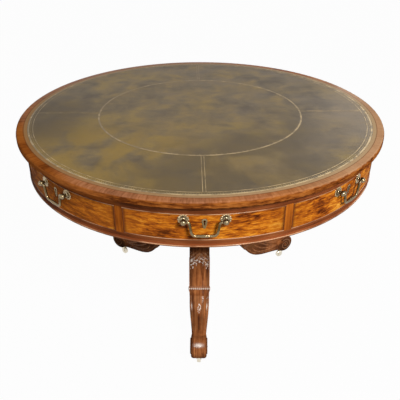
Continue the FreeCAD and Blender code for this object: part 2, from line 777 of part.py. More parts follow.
def volute(side):
    """Spiral band raised on one face of the scroll."""
    steps = int(VOLUTE_STEPS * VOLUTE_TURNS)
    outer_r = SCROLL_R - VOLUTE_INSET

    def spiral(inset):
        points = []
        for k in range(steps + 1):
            share = k / steps
            radius = outer_r + (VOLUTE_EYE - outer_r) * share - inset * (1 - VOLUTE_TAPER * share)
            turn = math.radians(VOLUTE_START) - 2 * math.pi * VOLUTE_TURNS * share
            points.append(V(radius * math.cos(turn), 0, radius * math.sin(turn)))
        curve = Part.BSplineCurve()
        curve.interpolate(points)
        return curve.toShape(), points

    outer, outer_points = spiral(0)
    inner, inner_points = spiral(VOLUTE_BAND)
    ends = [Part.makeLine(outer_points[k], inner_points[k]) for k in (0, -1)]
    wire = Part.Wire(Part.sortEdges([outer, inner] + ends)[0])
    band = Part.Face(wire).extrude(V(0, side * VOLUTE_T, 0))
    band.translate(V(SCROLL_REACH, side * (SCROLL_W / 2 - VOLUTE_T), SCROLL_Z))
    return band


def tenon(grow=0.0):
    """Sliding dovetail that holds a leg in the column, widest at its inner end."""
    neck = TENON_NECK / 2 + grow
    flare = neck + TENON_FLARE
    deep = COLUMN_R - TENON_DEEP - grow
    outer = COLUMN_R + TENON_OUT
    points = [V(outer, -neck, 0), V(deep, -flare, 0), V(deep, flare, 0), V(outer, neck, 0)]
    key = Part.Face(Part.makePolygon(points + points[:1])).extrude(V(0, 0, TENON_H + grow))
    key.translate(V(0, 0, COLUMN_BOTTOM))
    return key


def leg():
    """One leg along +X: lofted shank, bead collar, scroll foot and tenon."""
    shank = Part.makeLoft([leg_section(*station) for station in leg_stations()], True, False)
    body = shank.cut(drum(COLUMN_R + GLUE_GAP, 0, HEIGHT))
    body = body.fuse([collar(), scroll(), volute(1), volute(-1)])
    body = body.cut(block(0, TOP_R, -HIP_W, HIP_W, -HIP_W, FOOT_FLAT))
    key = tenon().cut(body)
    body = body.fuse(key)
    socket = drum(SLEEVE_R + GLUE_GAP, 0, FOOT_FLAT + SLEEVE_L + SWING_GAP, SCROLL_REACH)
    screw = drum(SCREW_R + GLUE_GAP, COLUMN_BOTTOM, COLUMN_BOTTOM + SCREW_L, SCREW_REACH)
    housing_half = STRAP_W / 2 + GLUE_GAP
    housing = block(0, STRAP_REACH + GLUE_GAP, -housing_half, housing_half, 0, COLUMN_BOTTOM)
    return body.cut([socket, screw, housing]).removeSplitter()


def strap_and_screws():
    """Three-armed iron strap under the joints, and one countersunk screw for each arm."""
    low = COLUMN_BOTTOM - STRAP_T
    arm = block(0, STRAP_REACH, -STRAP_W / 2, STRAP_W / 2, low, COLUMN_BOTTOM)
    plate = drum(STRAP_DISC_R, low, COLUMN_BOTTOM).fuse(at_legs(arm)).removeSplitter()
    seat = SCREW_HEAD_R - SCREW_R
    screw = turning(
        (0, low),
        (SCREW_HEAD_R, low),
        (SCREW_R, low + seat),
        (SCREW_R, COLUMN_BOTTOM + SCREW_L - SCREW_HEAD_R),
        (0, COLUMN_BOTTOM + SCREW_L),
    )
    hole = turning(
        (0, low),
        (SCREW_HEAD_R + GLUE_GAP, low),
        (SCREW_R + GLUE_GAP, low + seat),
        (SCREW_R + GLUE_GAP, COLUMN_BOTTOM),
        (0, COLUMN_BOTTOM),
    )
    for shape in (screw, hole):
        shape.translate(V(SCREW_REACH, 0, 0))
    save("strap_plate", plate.cut(at_legs(hole)))
    save("strap_screws", *at_legs(screw))


def castor_socket():
    """Flanged sleeve let into a foot."""
    bore = SWIVEL_R + RUN_FIT
    top = FOOT_FLAT + SLEEVE_L
    socket = turning(
        (bore, FOOT_FLAT - FLANGE_T),
        (FLANGE_R, FOOT_FLAT - FLANGE_T),
        (FLANGE_R, FOOT_FLAT),
        (SLEEVE_R, FOOT_FLAT),
        (SLEEVE_R, top),
        (bore, top),
    )
    socket.translate(V(SCROLL_REACH, 0, 0))
    return socket


def castor():
    """Horn with swivel pin, axle and wheel for a foot on +X, turned to trail under it."""
    crown_high = FOOT_FLAT - FLANGE_T - SLIDE_GAP
    crown_low = crown_high - CROWN_PLATE_T
    pin = drum(SWIVEL_R, crown_low, FOOT_FLAT + SLEEVE_L - SWING_GAP)
    horn = drum(CROWN_PLATE_R, crown_low, crown_high).fuse(pin)
    gap = WHEEL_W / 2 + SWING_GAP
    axle_end = V(gap + CHEEK_T, 0, 0)
    centre = V(0, TRAIL, WHEEL_R)
    axle_hole = rod(WHEEL_BORE + GLUE_GAP, centre - axle_end, centre + axle_end)
    for x in (gap, -gap - CHEEK_T):
        eye = rod(CHEEK_R, V(x, TRAIL, WHEEL_R), V(x + CHEEK_T, TRAIL, WHEEL_R))
        points = [
            V(x, TRAIL + CHEEK_R, WHEEL_R),
            V(x, CROWN_WEB, crown_high),
            V(x, -CROWN_WEB, crown_high),
            V(x, -CROWN_WEB, crown_low),
            V(x, TRAIL - CHEEK_R, WHEEL_R),
        ]
        web = Part.Face(Part.makePolygon(points + points[:1])).extrude(V(CHEEK_T, 0, 0))
        horn = horn.fuse([web, eye])
    horn = horn.cut(axle_hole).removeSplitter()
    axle = rod(WHEEL_BORE, centre - axle_end, centre + axle_end)
    bore = WHEEL_BORE + RUN_FIT
    tread = WHEEL_W / 2 - WHEEL_BEVEL
    wheel = turning(
        (bore, -WHEEL_W / 2),
        (WHEEL_R - WHEEL_BEVEL, -WHEEL_W / 2),
        (WHEEL_R, -tread),
        (WHEEL_R, tread),
        (WHEEL_R - WHEEL_BEVEL, WHEEL_W / 2),
        (bore, WHEEL_W / 2),
    )
    wheel.rotate(ORIGIN, V(0, 1, 0), 90)
    wheel.translate(centre)
    for shape in (horn, axle, wheel):
        shape.rotate(ORIGIN, UP, CASTOR_TURN)
        shape.translate(V(SCROLL_REACH, 0, 0))
    return horn, axle, wheel


def make_pedestal():
    one_leg = leg()
    horn, axle, wheel = castor()
    make_column(at_legs(tenon(GLUE_GAP)))
    strap_and_screws()
    save("castor_sockets", *at_legs(castor_socket()))
    for name in LEGS:
        turn = leg_angle(name)
        save("leg_" + name, turned_to(one_leg, turn))
        save("castor_horn_" + name, turned_to(horn, turn), turned_to(axle, turn))
        save("castor_wheel_" + name, turned_to(wheel, turn))


os.makedirs("parts", exist_ok=True)
make_top()
make_carcase()
for drawer_name, drawer_angle in DRAWERS.items():
    drawer(drawer_name, drawer_angle)
make_dummies()
make_pivot()
make_pedestal()
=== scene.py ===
# %% [markdown]
# # A drum table, dressed
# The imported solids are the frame: every board, leg and handle is already in place, in metres. This lesson
# gives them their finishes, lays the gilt tooling on the leather and cuts the carving on the legs.

# %% Load the frame
import json
import math
from collections import namedtuple

import bpy
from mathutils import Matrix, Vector, noise
from mathutils.bvhtree import BVHTree


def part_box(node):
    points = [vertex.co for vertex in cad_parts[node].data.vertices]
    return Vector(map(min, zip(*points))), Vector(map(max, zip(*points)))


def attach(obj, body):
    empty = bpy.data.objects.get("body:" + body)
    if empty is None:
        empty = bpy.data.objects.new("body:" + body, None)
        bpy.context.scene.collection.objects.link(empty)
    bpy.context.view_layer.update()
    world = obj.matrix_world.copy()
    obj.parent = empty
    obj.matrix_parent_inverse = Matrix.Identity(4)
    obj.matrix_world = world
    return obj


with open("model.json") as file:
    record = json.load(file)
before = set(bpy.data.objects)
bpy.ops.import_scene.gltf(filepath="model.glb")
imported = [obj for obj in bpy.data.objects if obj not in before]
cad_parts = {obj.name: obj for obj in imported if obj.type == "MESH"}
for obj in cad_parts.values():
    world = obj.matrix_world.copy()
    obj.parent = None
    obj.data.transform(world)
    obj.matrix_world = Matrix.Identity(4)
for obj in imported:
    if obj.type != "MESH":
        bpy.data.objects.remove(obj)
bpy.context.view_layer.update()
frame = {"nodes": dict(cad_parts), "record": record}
nodes = frame["nodes"]

# %% [markdown]
# ## Camera
# The viewpoint was worked out from the ellipse of the table's edge: at the height of the eyes, a little over
# a metre and a half away, looking down on the leather. A plain camera with a short portrait lens gives the
# same perspective, so nothing has to be shifted or cropped.

# %% Camera
CAMERA_REACH = 1.6589
CAMERA_HEIGHT = 1.4004
CAMERA_DOWN = math.radians(30.839)
CAMERA_TURN = math.radians(-1.15)
CAMERA_LENS = 46.4

lens = bpy.data.cameras.new("camera")
lens.lens = CAMERA_LENS
camera = bpy.data.objects.new("camera", lens)
camera.location = (
    CAMERA_REACH * math.sin(CAMERA_TURN),
    -CAMERA_REACH * math.cos(CAMERA_TURN),
    CAMERA_HEIGHT,
)
camera.rotation_euler = (math.pi / 2 - CAMERA_DOWN, 0, CAMERA_TURN)
bpy.context.scene.collection.objects.link(camera)
bpy.context.scene.camera = camera
print("camera at", [round(v, 3) for v in camera.location])

# %% [markdown]
# ## Writing shaders as sums
# A finish is a small calculation: noise plus noise, times a mask. Wiring that by hand hides the idea, so
# one class wraps a socket and lets Python's own operators add the Math nodes.

# %% Sockets with operators
class Flow:
    """A socket of a node tree that can be added, multiplied and so on."""

    def __init__(self, tree, socket):
        self.tree = tree
        self.socket = socket

    def math(self, operation, *others):
        return add_math(self.tree, operation, self, *others)

    def __add__(self, other):
        return self.math("ADD", other)

    def __sub__(self, other):
        return self.math("SUBTRACT", other)

    def __rsub__(self, other):
        return add_math(self.tree, "SUBTRACT", other, self)

    def __mul__(self, other):
        return self.math("MULTIPLY", other)

    def __truediv__(self, other):
        return self.math("DIVIDE", other)

    def __rtruediv__(self, other):
        return add_math(self.tree, "DIVIDE", other, self)

    def __pow__(self, other):
        return self.math("POWER", other)

    __radd__ = __add__
    __rmul__ = __mul__


def plug(tree, value, socket):
    """Link a flow to a socket, or set the socket's own value."""
    if isinstance(value, Flow):
        tree.links.new(value.socket, socket)
    else:
        socket.default_value = value


def add_math(tree, operation, *values):
    node = tree.nodes.new("ShaderNodeMath")
    node.operation = operation
    for value, socket in zip(values, node.inputs):
        plug(tree, value, socket)
    return Flow(tree, node.outputs[0])


print("flows add, subtract, multiply, divide and raise")

# %% [markdown]
# Every other node comes from one method that takes the node's type, its settings and its sockets. A finish
# is a node tree that starts with Blender's Principled shader, plus a short name for each kind of node that
# these finishes share, so that a material reads like a recipe.

# %% Any other node
def colour(red, green, blue):
    return (red, green, blue, 1.0)


def fill_ramp(ramp, stops):
    """Give a colour ramp its stops, each a position and a colour."""
    while len(ramp.elements) < len(stops):
        ramp.elements.new(1.0)
    for element, (position, shade) in zip(ramp.elements, stops):
        element.position = position
        element.color = shade


class Wiring:
    """A node tree under construction."""

    tree = None

    def node(self, kind, settings=None, sockets=None, output=0):
        """Any node: its settings first, then the values or links of its sockets."""
        node = self.tree.nodes.new(kind)
        for key, value in (settings or {}).items():
            if key == "stops":
                fill_ramp(node.color_ramp, value)
            else:
                setattr(node, key, value)
        for key, value in (sockets or {}).items():
            plug(self.tree, value, node.inputs[key])
        return Flow(self.tree, node.outputs[output])


print("any node comes from", Wiring.__name__)

# %% A finish
# A Mix node has sockets for numbers, vectors and colours. These are the places of the colours.
MIX_A, MIX_B, MIX_RESULT = 6, 7, 2


class Finish(Wiring):
    """A material under construction, with the few nodes that these finishes share."""

    def __init__(self, name, **fixed):
        self.material = bpy.data.materials.new(name)
        self.material.use_nodes = True
        self.tree = self.material.node_tree
        self.shader = self.tree.nodes["Principled BSDF"]
        for socket, value in fixed.items():
            self.shader.inputs[socket.replace("_", " ")].default_value = value
        self.place = self.node("ShaderNodeTexCoord", output="Object")

    def axes(self, vector=None):
        split = self.node("ShaderNodeSeparateXYZ", sockets={0: vector or self.place})
        outputs = split.socket.node.outputs
        return [Flow(self.tree, outputs[k]) for k in range(3)]

    def vector(self, x, y, z):
        return self.node("ShaderNodeCombineXYZ", sockets={0: x, 1: y, 2: z})

    def stretch(self, scale, turn=0.0, vector=None):
        sockets = {"Vector": vector or self.place, "Scale": scale, "Rotation": (0, 0, turn)}
        return self.node("ShaderNodeMapping", sockets=sockets)

    def noise(self, vector, scale=1.0, detail=4.0, roughness=0.55, distortion=0.0):
        sockets = {"Vector": vector, "Scale": scale, "Detail": detail,
                   "Roughness": roughness, "Distortion": distortion}
        return self.node("ShaderNodeTexNoise", sockets=sockets)

    def step(self, value, low, high):
        """0 below low and 1 above high, eased between."""
        settings = {"interpolation_type": "SMOOTHSTEP"}
        return self.node("ShaderNodeMapRange", settings, {0: value, 1: low, 2: high})

    def mix(self, factor, first, second):
        sockets = {0: factor, MIX_A: first, MIX_B: second}
        return self.node("ShaderNodeMix", {"data_type": "RGBA"}, sockets, MIX_RESULT)

    def ramp(self, value, *stops):
        return self.node("ShaderNodeValToRGB", {"stops": stops}, {0: value})

    def finish(self, base, roughness, height=None, relief=0.0, metallic=None, coat=None):
        """Plug what varies into the shader. The relief is the bump's depth in metres."""
        parts = {"Base Color": base, "Roughness": roughness, "Metallic": metallic, "Coat Weight": coat}
        if height is not None:
            bump = {"Distance": relief, "Height": height}
            parts["Normal"] = self.node("ShaderNodeBump", sockets=bump, output="Normal")
        for socket, value in parts.items():
            if value is not None:
                plug(self.tree, value, self.shader.inputs[socket])
        return self.material


def dress(node, material):
    node.data.materials.clear()
    node.data.materials.append(material)


print("finish sockets ready")

# %% [markdown]
# ## Leather
# The skin is hide dyed olive and waxed for two centuries. Noises at several scales pick from a ramp of
# olive browns, and the wax brush's fine streaks run one way because the coordinates are stretched before
# that noise is taken. Then masks on the coordinates change each area: the dye is thin and yellow at the
# front left, dull in the middle and stained at the front right. The leather is darker at the far left, and a
# painted sheen makes it pale at the far right. An image would show the same, but noise has no seam and no
# limit to its detail.

# %% Leather finish
def olive_leather():
    f = Finish("olive_leather", Specular_IOR_Level=0.12)
    x, y, _ = f.axes()
    wide = f.stretch((1, 0.8, 1))
    cloud = f.noise(wide, 4.5, 4, 0.5, 0.4)
    patch = f.noise(wide, 13.0, 4, 0.5, 0.5)
    streak = f.noise(f.stretch((9, 22, 1)), 1.8, 5, 0.6, 0.3)
    speck = f.noise(f.place, 80, 4, 0.6)
    grain = f.noise(f.place, 900, 2, 0.5)
    base = f.ramp(
        cloud * 0.36 + patch * 0.42 + streak * 0.22,
        (0.40, colour(0.092, 0.066, 0.038)),
        (0.47, colour(0.146, 0.105, 0.055)),
        (0.53, colour(0.196, 0.137, 0.062)),
        (0.60, colour(0.255, 0.176, 0.060)),
    )
    worn_side = f.step(x * -0.75 - y * 0.45, -0.20, 0.38)
    worn_front = worn_side * (1 - f.step(y, -0.24, 0.0))
    thin_dye = f.step(f.noise(wide, 8.0, 4, 0.5, 0.6), 0.34, 0.60) * worn_front
    base = f.mix(thin_dye * 0.75, base, colour(0.296, 0.184, 0.032))
    dull = f.step(f.noise(f.stretch((2, 3, 1)), 2.4, 5, 0.6), 0.36, 0.66) * (1 - worn_side)
    base = f.mix(dull * 0.5, base, colour(0.178, 0.136, 0.094))
    front_right = f.step(x * 0.9 - y, 0.16, 0.36) * (1 - f.step(x, 0.26, 0.42))
    stain = f.step(f.noise(f.place, 6.0, 3, 0.5, 0.4), 0.28, 0.54) * front_right
    base = f.mix(stain * 0.75, base, colour(0.100, 0.072, 0.038))
    from_middle = 1 - f.step((y + 0.06).math("ABSOLUTE"), 0.08, 0.30)
    far_left = f.step(x * -1 + patch * 0.1, 0.34, 0.56) * from_middle
    base = f.mix(far_left * 0.75, base, colour(0.072, 0.048, 0.020))
    # painted sheen: the far right is made paler and greyer, as light reflected there would make it
    far_right = f.step(x + streak * 0.1 - (y + 0.05).math("ABSOLUTE") * 0.25, 0.40, 0.56)
    base = f.mix(far_right * 0.55, base, colour(0.280, 0.215, 0.146))
    base = f.mix(f.step(speck, 0.58, 0.74) * 0.3, base, colour(0.085, 0.060, 0.030))
    gloss = cloud * 0.16 + streak * 0.14 + 0.32
    return f.finish(base, gloss, grain * 0.6 + speck * 0.4, 0.0006)


dress(nodes["leather_top"], olive_leather())
print("leather on", nodes["leather_top"].name)

# %% [markdown]
# ## Mahogany
# Five cuts of the same timber show: flame veneer on the drawer fronts, straight stock in rails and stiles,
# dark beads, crossbanding on the rim, and old dark wood in the legs. All are a grain noise, stretched along
# the fibre, that picks from a ramp of browns, under a thin coat of polish.
#
# The flame veneer is golden, with short dark streaks that waver, so a slow noise bends the height before
# the grain is taken. A front is darker towards its ends, and the ends are found from the angle between a
# point and the middle of the nearest front.

# %% Flame veneer
POLISH = {"Coat_Roughness": 0.12, "Specular_IOR_Level": 0.0}
FRONT_R = -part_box("drawer_front_front")[0][1]
FRONT_HALF = FRONT_R * math.asin(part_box("drawer_front_front")[1][0] / FRONT_R)
FRONT_STEP = math.pi / 4


def pores(f, along):
    """Short dark pores in the direction that the coordinates are stretched."""
    return f.step(f.noise(along, 3.2, 2, 0.5), 0.62, 0.72)


def flame_mahogany():
    """Golden mottled veneer: dark streaks and blotches that waver along a front."""
    f = Finish("flame_mahogany", **POLISH)
    x, y, z = f.axes()
    waver = f.noise(f.place, 6.0, 3, 0.5)
    bent = f.vector(x, y, z + waver * 0.03)
    figure = f.noise(f.stretch((20, 20, 110), vector=bent), 1.0, 6, 0.66, 0.7)
    mottle = f.noise(f.stretch((60, 60, 240), vector=bent), 1.0, 4, 0.6, 0.5)
    patch = f.noise(f.stretch((8, 8, 20)), 1.0, 3, 0.5, 0.5)
    fibre = f.noise(f.stretch((26, 26, 420)), 1.0, 3, 0.6)
    base = f.ramp(
        figure * 0.38 + patch * 0.30 + mottle * 0.24 + fibre * 0.08,
        (0.41, colour(0.070, 0.014, 0.003)),
        (0.455, colour(0.240, 0.052, 0.006)),
        (0.50, colour(0.480, 0.124, 0.008)),
        (0.55, colour(0.680, 0.226, 0.014)),
        (0.61, colour(0.850, 0.390, 0.050)),
    )
    dark = pores(f, f.stretch((30, 30, 260)))
    base = f.mix(dark * 0.35, base, colour(0.090, 0.022, 0.006))
    base = f.mix(f.step(x * -1, 0.0, 0.35) * 0.24, base, colour(0.780, 0.240, 0.030))
    turns = x.math("ARCTAN2", y) / FRONT_STEP
    middle_off = (turns - turns.math("ROUND")).math("ABSOLUTE") * (FRONT_STEP * FRONT_R)
    near_end = f.step(middle_off, FRONT_HALF - 0.060, FRONT_HALF - 0.015)
    base = f.mix(near_end * 0.34, base, colour(0.300, 0.075, 0.006))
    end = f.step(middle_off + mottle * 0.008, FRONT_HALF - 0.004, FRONT_HALF + 0.004)
    base = f.mix(end * 0.7, base, colour(0.120, 0.030, 0.006))
    return f.finish(base, figure * 0.12 + 0.26, fibre, 0.0002, coat=patch * 0.10)


print("half the arc of a front", round(FRONT_HALF, 4))

# %% [markdown]
# The rails are straight stock with level fibre, and the stiles are the same stock stood upright, so the two
# finishes stretch their grain along different axes. The upper rail carries a painted shadow under the rim,
# and painted light lifts it on the left. The lower rail is redder at its foot.

# %% Rails and stiles
UPPER_RAIL_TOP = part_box("upper_rail")[1][2]
LOWER_RAIL_MID = sum(corner[2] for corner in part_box("lower_rail")) / 2


def rail_mahogany():
    f = Finish("rail_mahogany", **POLISH)
    x, _, z = f.axes()
    streak = f.noise(f.stretch((9, 9, 190)), 1.0, 5, 0.6, 0.5)
    patch = f.noise(f.place, 9.0, 3, 0.5)
    base = f.ramp(
        streak * 0.6 + patch * 0.4,
        (0.32, colour(0.085, 0.021, 0.007)),
        (0.50, colour(0.220, 0.058, 0.016)),
        (0.70, colour(0.360, 0.115, 0.034)),
    )
    # painted shadow: the upper rail is darkened just under the rim's overhang
    rim_shadow = f.step(z, UPPER_RAIL_TOP - 0.014, UPPER_RAIL_TOP - 0.002)
    base = f.mix(rim_shadow * 0.5, base, colour(0.055, 0.014, 0.005))
    upper_rail = f.step(z, UPPER_RAIL_TOP - 0.030, UPPER_RAIL_TOP - 0.020)
    # painted light: the upper rail is made lighter on the left
    left = f.step(x * -1, 0.20, 0.26) * upper_rail
    base = f.mix(left * (patch * 0.5 + 0.5), base, colour(0.490, 0.125, 0.012))
    rail_foot = f.step(LOWER_RAIL_MID - z, -0.001, 0.002)
    base = f.mix(rail_foot * 0.5, base, colour(0.400, 0.098, 0.028))
    return f.finish(base, patch * 0.15 + 0.24, streak, 0.0002, coat=patch * 0.1)


def stile_mahogany():
    f = Finish("stile_mahogany", **POLISH)
    streak = f.noise(f.stretch((170, 170, 7)), 1.0, 5, 0.6, 0.5)
    patch = f.noise(f.place, 11.0, 3, 0.5)
    base = f.ramp(
        streak * 0.55 + patch * 0.45,
        (0.32, colour(0.170, 0.038, 0.005)),
        (0.50, colour(0.420, 0.110, 0.010)),
        (0.70, colour(0.600, 0.190, 0.016)),
    )
    return f.finish(base, patch * 0.15 + 0.24, streak, 0.0002, coat=patch * 0.1)


print("upper rail up to", round(UPPER_RAIL_TOP, 4), "middle of the lower rail", round(LOWER_RAIL_MID, 4))

# %% [markdown]
# Thin dark beads frame each drawer and the foot of the drum. A painted highlight makes the upper half of the
# level ones pale, where light from above catches them. A mask on the distance from the pivot keeps that to
# the nose of a bead, and one on the height to its upper half, because no texture map would be sharp enough
# on a strip of three millimetres.

# %% Beads
BEAD_T = 0.003
BEAD_NOSE = (0.5772, 0.5784)
HIGHLIGHT_DOWN = 0.0009
HIGHLIGHT_FADE = (0.0007, 0.0014)
bead_low, bead_high = [corner[2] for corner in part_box("cockbead_front")]
BEAD_LEVELS = (bead_low + BEAD_T, bead_high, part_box("base_bead")[1][2])


def pivot_reach(x, y):
    """The distance from the axis that the drum turns on."""
    return (x * x + y * y) ** 0.5


def bead_mahogany():
    f = Finish("bead_mahogany", **POLISH)
    x, y, z = f.axes()
    wear = f.noise(f.place, 22.0, 4, 0.6)
    nose = f.step(pivot_reach(x, y) + wear * 0.0008, *BEAD_NOSE)
    upper = sum(1 - f.step((z - (top - HIGHLIGHT_DOWN)).math("ABSOLUTE"), *HIGHLIGHT_FADE) for top in BEAD_LEVELS)
    base = f.mix(wear, colour(0.110, 0.026, 0.005), colour(0.230, 0.060, 0.010))
    broken = f.step(f.noise(f.place, 9.0, 4, 0.6), 0.36, 0.60)
    # painted highlight: the upper half of each level bead's nose is painted pale
    base = f.mix(nose * upper * (broken * 0.55 + 0.12), base, colour(0.820, 0.460, 0.250))
    return f.finish(base, wear * 0.1 + 0.18, wear, 0.0001, coat=wear * 0.2 + 0.1)


print("level beads at", [round(level, 4) for level in BEAD_LEVELS])

# %% [markdown]
# The rim is crossbanded: short pieces of veneer laid with their fibre pointing at the centre. Dividing a
# point by its distance from the pivot leaves a direction, and noise on that direction gives rays with no
# seam. Counting round the circle gives each piece a tone of its own. Below the top, the rounded edge is a
# moulding with long grain, with painted light on its left. The top is paler round most of the rim, a painted
# sheen makes it pale on the right and a painted shade darkens the back. A tan border with a dark joint line
# runs along the leather, lighter on the lit side.

# %% Crossbanding
BAND_PIECES = 44
RAYS = 95
RIM_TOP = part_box("top_rim")[1][2]
BORDER_END = (0.5755, 0.5785)
JOINT_R = 0.5770
JOINT_FADE = (0.0006, 0.0020)


def crossband_mahogany():
    f = Finish("crossband_mahogany", **POLISH)
    x, y, z = f.axes()
    reach = pivot_reach(x, y)
    fibre = f.noise(f.vector(x / reach * RAYS, y / reach * RAYS, reach * 26), 1.0, 5, 0.62, 0.3)
    around = x.math("ARCTAN2", y) * (BAND_PIECES / (2 * math.pi))
    piece = f.node("ShaderNodeTexWhiteNoise", {"noise_dimensions": "1D"}, {"W": around.math("FLOOR")})
    patch = f.noise(f.place, 8.0, 4, 0.55)
    base = f.ramp(
        fibre * 0.45 + patch * 0.45 + piece * 0.10,
        (0.32, colour(0.120, 0.028, 0.005)),
        (0.45, colour(0.270, 0.072, 0.011)),
        (0.58, colour(0.390, 0.120, 0.020)),
        (0.72, colour(0.500, 0.185, 0.044)),
    )
    long_grain = f.noise(f.stretch((34, 34, 190)), 1.0, 5, 0.65, 0.6)
    moulding = f.ramp(
        long_grain * 0.7 + patch * 0.3,
        (0.37, colour(0.055, 0.014, 0.004)),
        (0.46, colour(0.180, 0.045, 0.008)),
        (0.55, colour(0.325, 0.096, 0.016)),
        (0.66, colour(0.455, 0.160, 0.034)),
    )
    # painted light: the moulding is made lighter on the left
    left = f.step(x * -1, 0.20, 0.30)
    moulding = f.mix(left * 0.36, moulding, colour(0.660, 0.205, 0.045))
    top = f.step(z, RIM_TOP - 0.004, RIM_TOP - 0.001)
    base = f.mix(top, moulding, base)
    paler_top = top * (1 - f.step(x * -0.87 - y * 0.5, 0.52, 0.575)) * (1 - f.step(x, 0.10, 0.30))
    base = f.mix(paler_top * (fibre * 0.9 - 0.10), base, colour(0.540, 0.260, 0.140))
    # painted sheen: the top is made paler on the right, as light reflected there would make it
    bleached = f.step(x - y * 0.25 + patch * 0.1, 0.34, 0.60) * top
    base = f.mix(bleached * (fibre * 0.8 + patch * 0.4 + 0.15), base, colour(0.560, 0.330, 0.180))
    shaded = f.step(y - x * 0.6, 0.25, 0.50) * top
    base = f.mix(shaded * 0.3, base, colour(0.090, 0.060, 0.040))
    lit_side = f.step(x * 0.7 - y * 0.25, -0.20, 0.50)
    tan = f.mix(lit_side, colour(0.335, 0.200, 0.088), colour(0.470, 0.335, 0.188))
    border = 1 - f.step(reach + patch * 0.003, *BORDER_END)
    base = f.mix(border * top * 0.8, base, tan)
    joint = 1 - f.step((reach - JOINT_R).math("ABSOLUTE"), *JOINT_FADE)
    base = f.mix(joint * top * 0.5, base, colour(0.090, 0.045, 0.020))
    sheen = f.step(y, -0.1, 0.4) * 0.3
    return f.finish(base, patch * 0.18 + 0.22, long_grain, 0.0002, coat=sheen * top)


print("rim of", BAND_PIECES, "pieces up to", round(RIM_TOP, 4))

# %% [markdown]
# The legs are old dark wood whose fibre runs down each leg, so the coordinates are turned to lie along the
# leg before the grain is stretched. A painted shadow of the drum darkens the hips, painted shade darkens the
# underside of the feet, the wood is darker along the edges, and hands and feet have rubbed the collars tan.
# On the volutes the groove is darker and a painted highlight lies on the ridge. The carving stores three
# numbers on its points: how dark its hollows and the painted shadow make it, how rubbed it is and how strong
# a painted highlight is there, and the finish reads them as attributes.

# %% Leg mahogany
COLLAR_REACH = 0.2470
COLLAR_Z = 0.1910
COLLAR_TILT = math.radians(47.5)
COLLAR_FADE = (0.005, 0.009)
HIP_SHADOW = (0.26, 0.40)
FOOT_SHADE = (-0.090, -0.050)
EDGE_DARKENING = (0.017, 0.034)
FOOT_START = (0.368, 0.378)
VOLUTE_GROOVE = (0.0240, 0.0262)
VOLUTE_RIDGE = (0.0272, 0.0284)


def leg_mahogany(name, turn, stretch=(7, 120, 12), edges=0.9):
    """Dark wood for a leg that lies at an angle of turn. Edges is the strength of its dark edges."""
    f = Finish("leg_mahogany_" + name, **POLISH)
    along = f.stretch((1, 1, 1), -turn)
    fibre = f.noise(f.stretch(stretch, vector=along), 1.0, 5, 0.62, 0.4)
    patch = f.noise(f.place, 16.0, 4, 0.6)
    hollow, rubbed, pale = [f.node("ShaderNodeAttribute", {"attribute_name": key}, output="Fac")
                            for key in ("hollow", "rubbed", "pale")]
    base = f.ramp(
        fibre * 0.6 + patch * 0.4,
        (0.36, colour(0.090, 0.026, 0.010)),
        (0.46, colour(0.230, 0.070, 0.021)),
        (0.54, colour(0.380, 0.128, 0.040)),
        (0.64, colour(0.520, 0.205, 0.066)),
    )
    out, aside, z = f.axes(along)
    off = aside.math("ABSOLUTE")
    # painted shadow of the drum on the hips and painted shade under the feet; the edges are darker too
    shade_and_dark_edges = f.step(z, *HIP_SHADOW) * 0.5 + f.step(z * -1, *FOOT_SHADE) * 0.7
    shade_and_dark_edges = shade_and_dark_edges + f.step(off, *EDGE_DARKENING) * edges
    base = f.mix(shade_and_dark_edges * (patch * 0.7 + 0.25), base, colour(0.056, 0.028, 0.018))
    from_collar = (out - COLLAR_REACH) * math.cos(COLLAR_TILT) - (z - COLLAR_Z) * math.sin(COLLAR_TILT)
    collar = 1 - f.step((from_collar + 0.002).math("ABSOLUTE"), *COLLAR_FADE)
    base = f.mix(collar * edges * 0.5, base, colour(0.420, 0.200, 0.110))
    foot = f.step(out, *FOOT_START) * edges
    # the volute's groove is darker, and a painted highlight lies on its raised ridge
    base = f.mix(foot * f.step(off, *VOLUTE_GROOVE) * 0.6, base, colour(0.035, 0.014, 0.008))
    base = f.mix(foot * f.step(off, *VOLUTE_RIDGE) * 0.6, base, colour(0.420, 0.190, 0.090))
    base = f.mix(hollow * 0.85, base, colour(0.036, 0.015, 0.009))
    base = f.mix(rubbed * 0.45, base, colour(0.560, 0.250, 0.090))
    # painted highlight: the pale share whitens the crests that catch the light
    base = f.mix(pale, base, colour(0.960, 0.840, 0.740))
    gloss = patch * 0.16 + 0.20 + hollow * 0.25 - rubbed * 0.06
    return f.finish(base, gloss, fibre, 0.0003, coat=rubbed * 0.4 + pale * 0.6 + 0.008)


print("collars at", COLLAR_REACH, "from the pivot")

# %% [markdown]
# ## Brass, iron and oak
# Old lacquered brass is dull and greenish, and bright where fingers polish it. On the handles that follows
# from the place: by distance from the pivot come the key plates, the posts' discs, their dark necks and the
# bright balls, and the grip of a bail is what hangs lowest. The upper half of each disc has a painted
# highlight. Petals and castors have a paler brass. Under the table the strap is black iron, and the drawers
# are boxes of oak.

# %% Brass
PLATE_FACE = (0.5780, 0.5792)
DISC_FACE = (0.5808, 0.5822)
DISC_HIGHLIGHT_LEVEL = (0.691, 0.702)
BALL_FACE = (0.594, 0.604)
BALL_LEVEL = (0.690, 0.694)
GRIP_LEVEL = (0.670, 0.678)


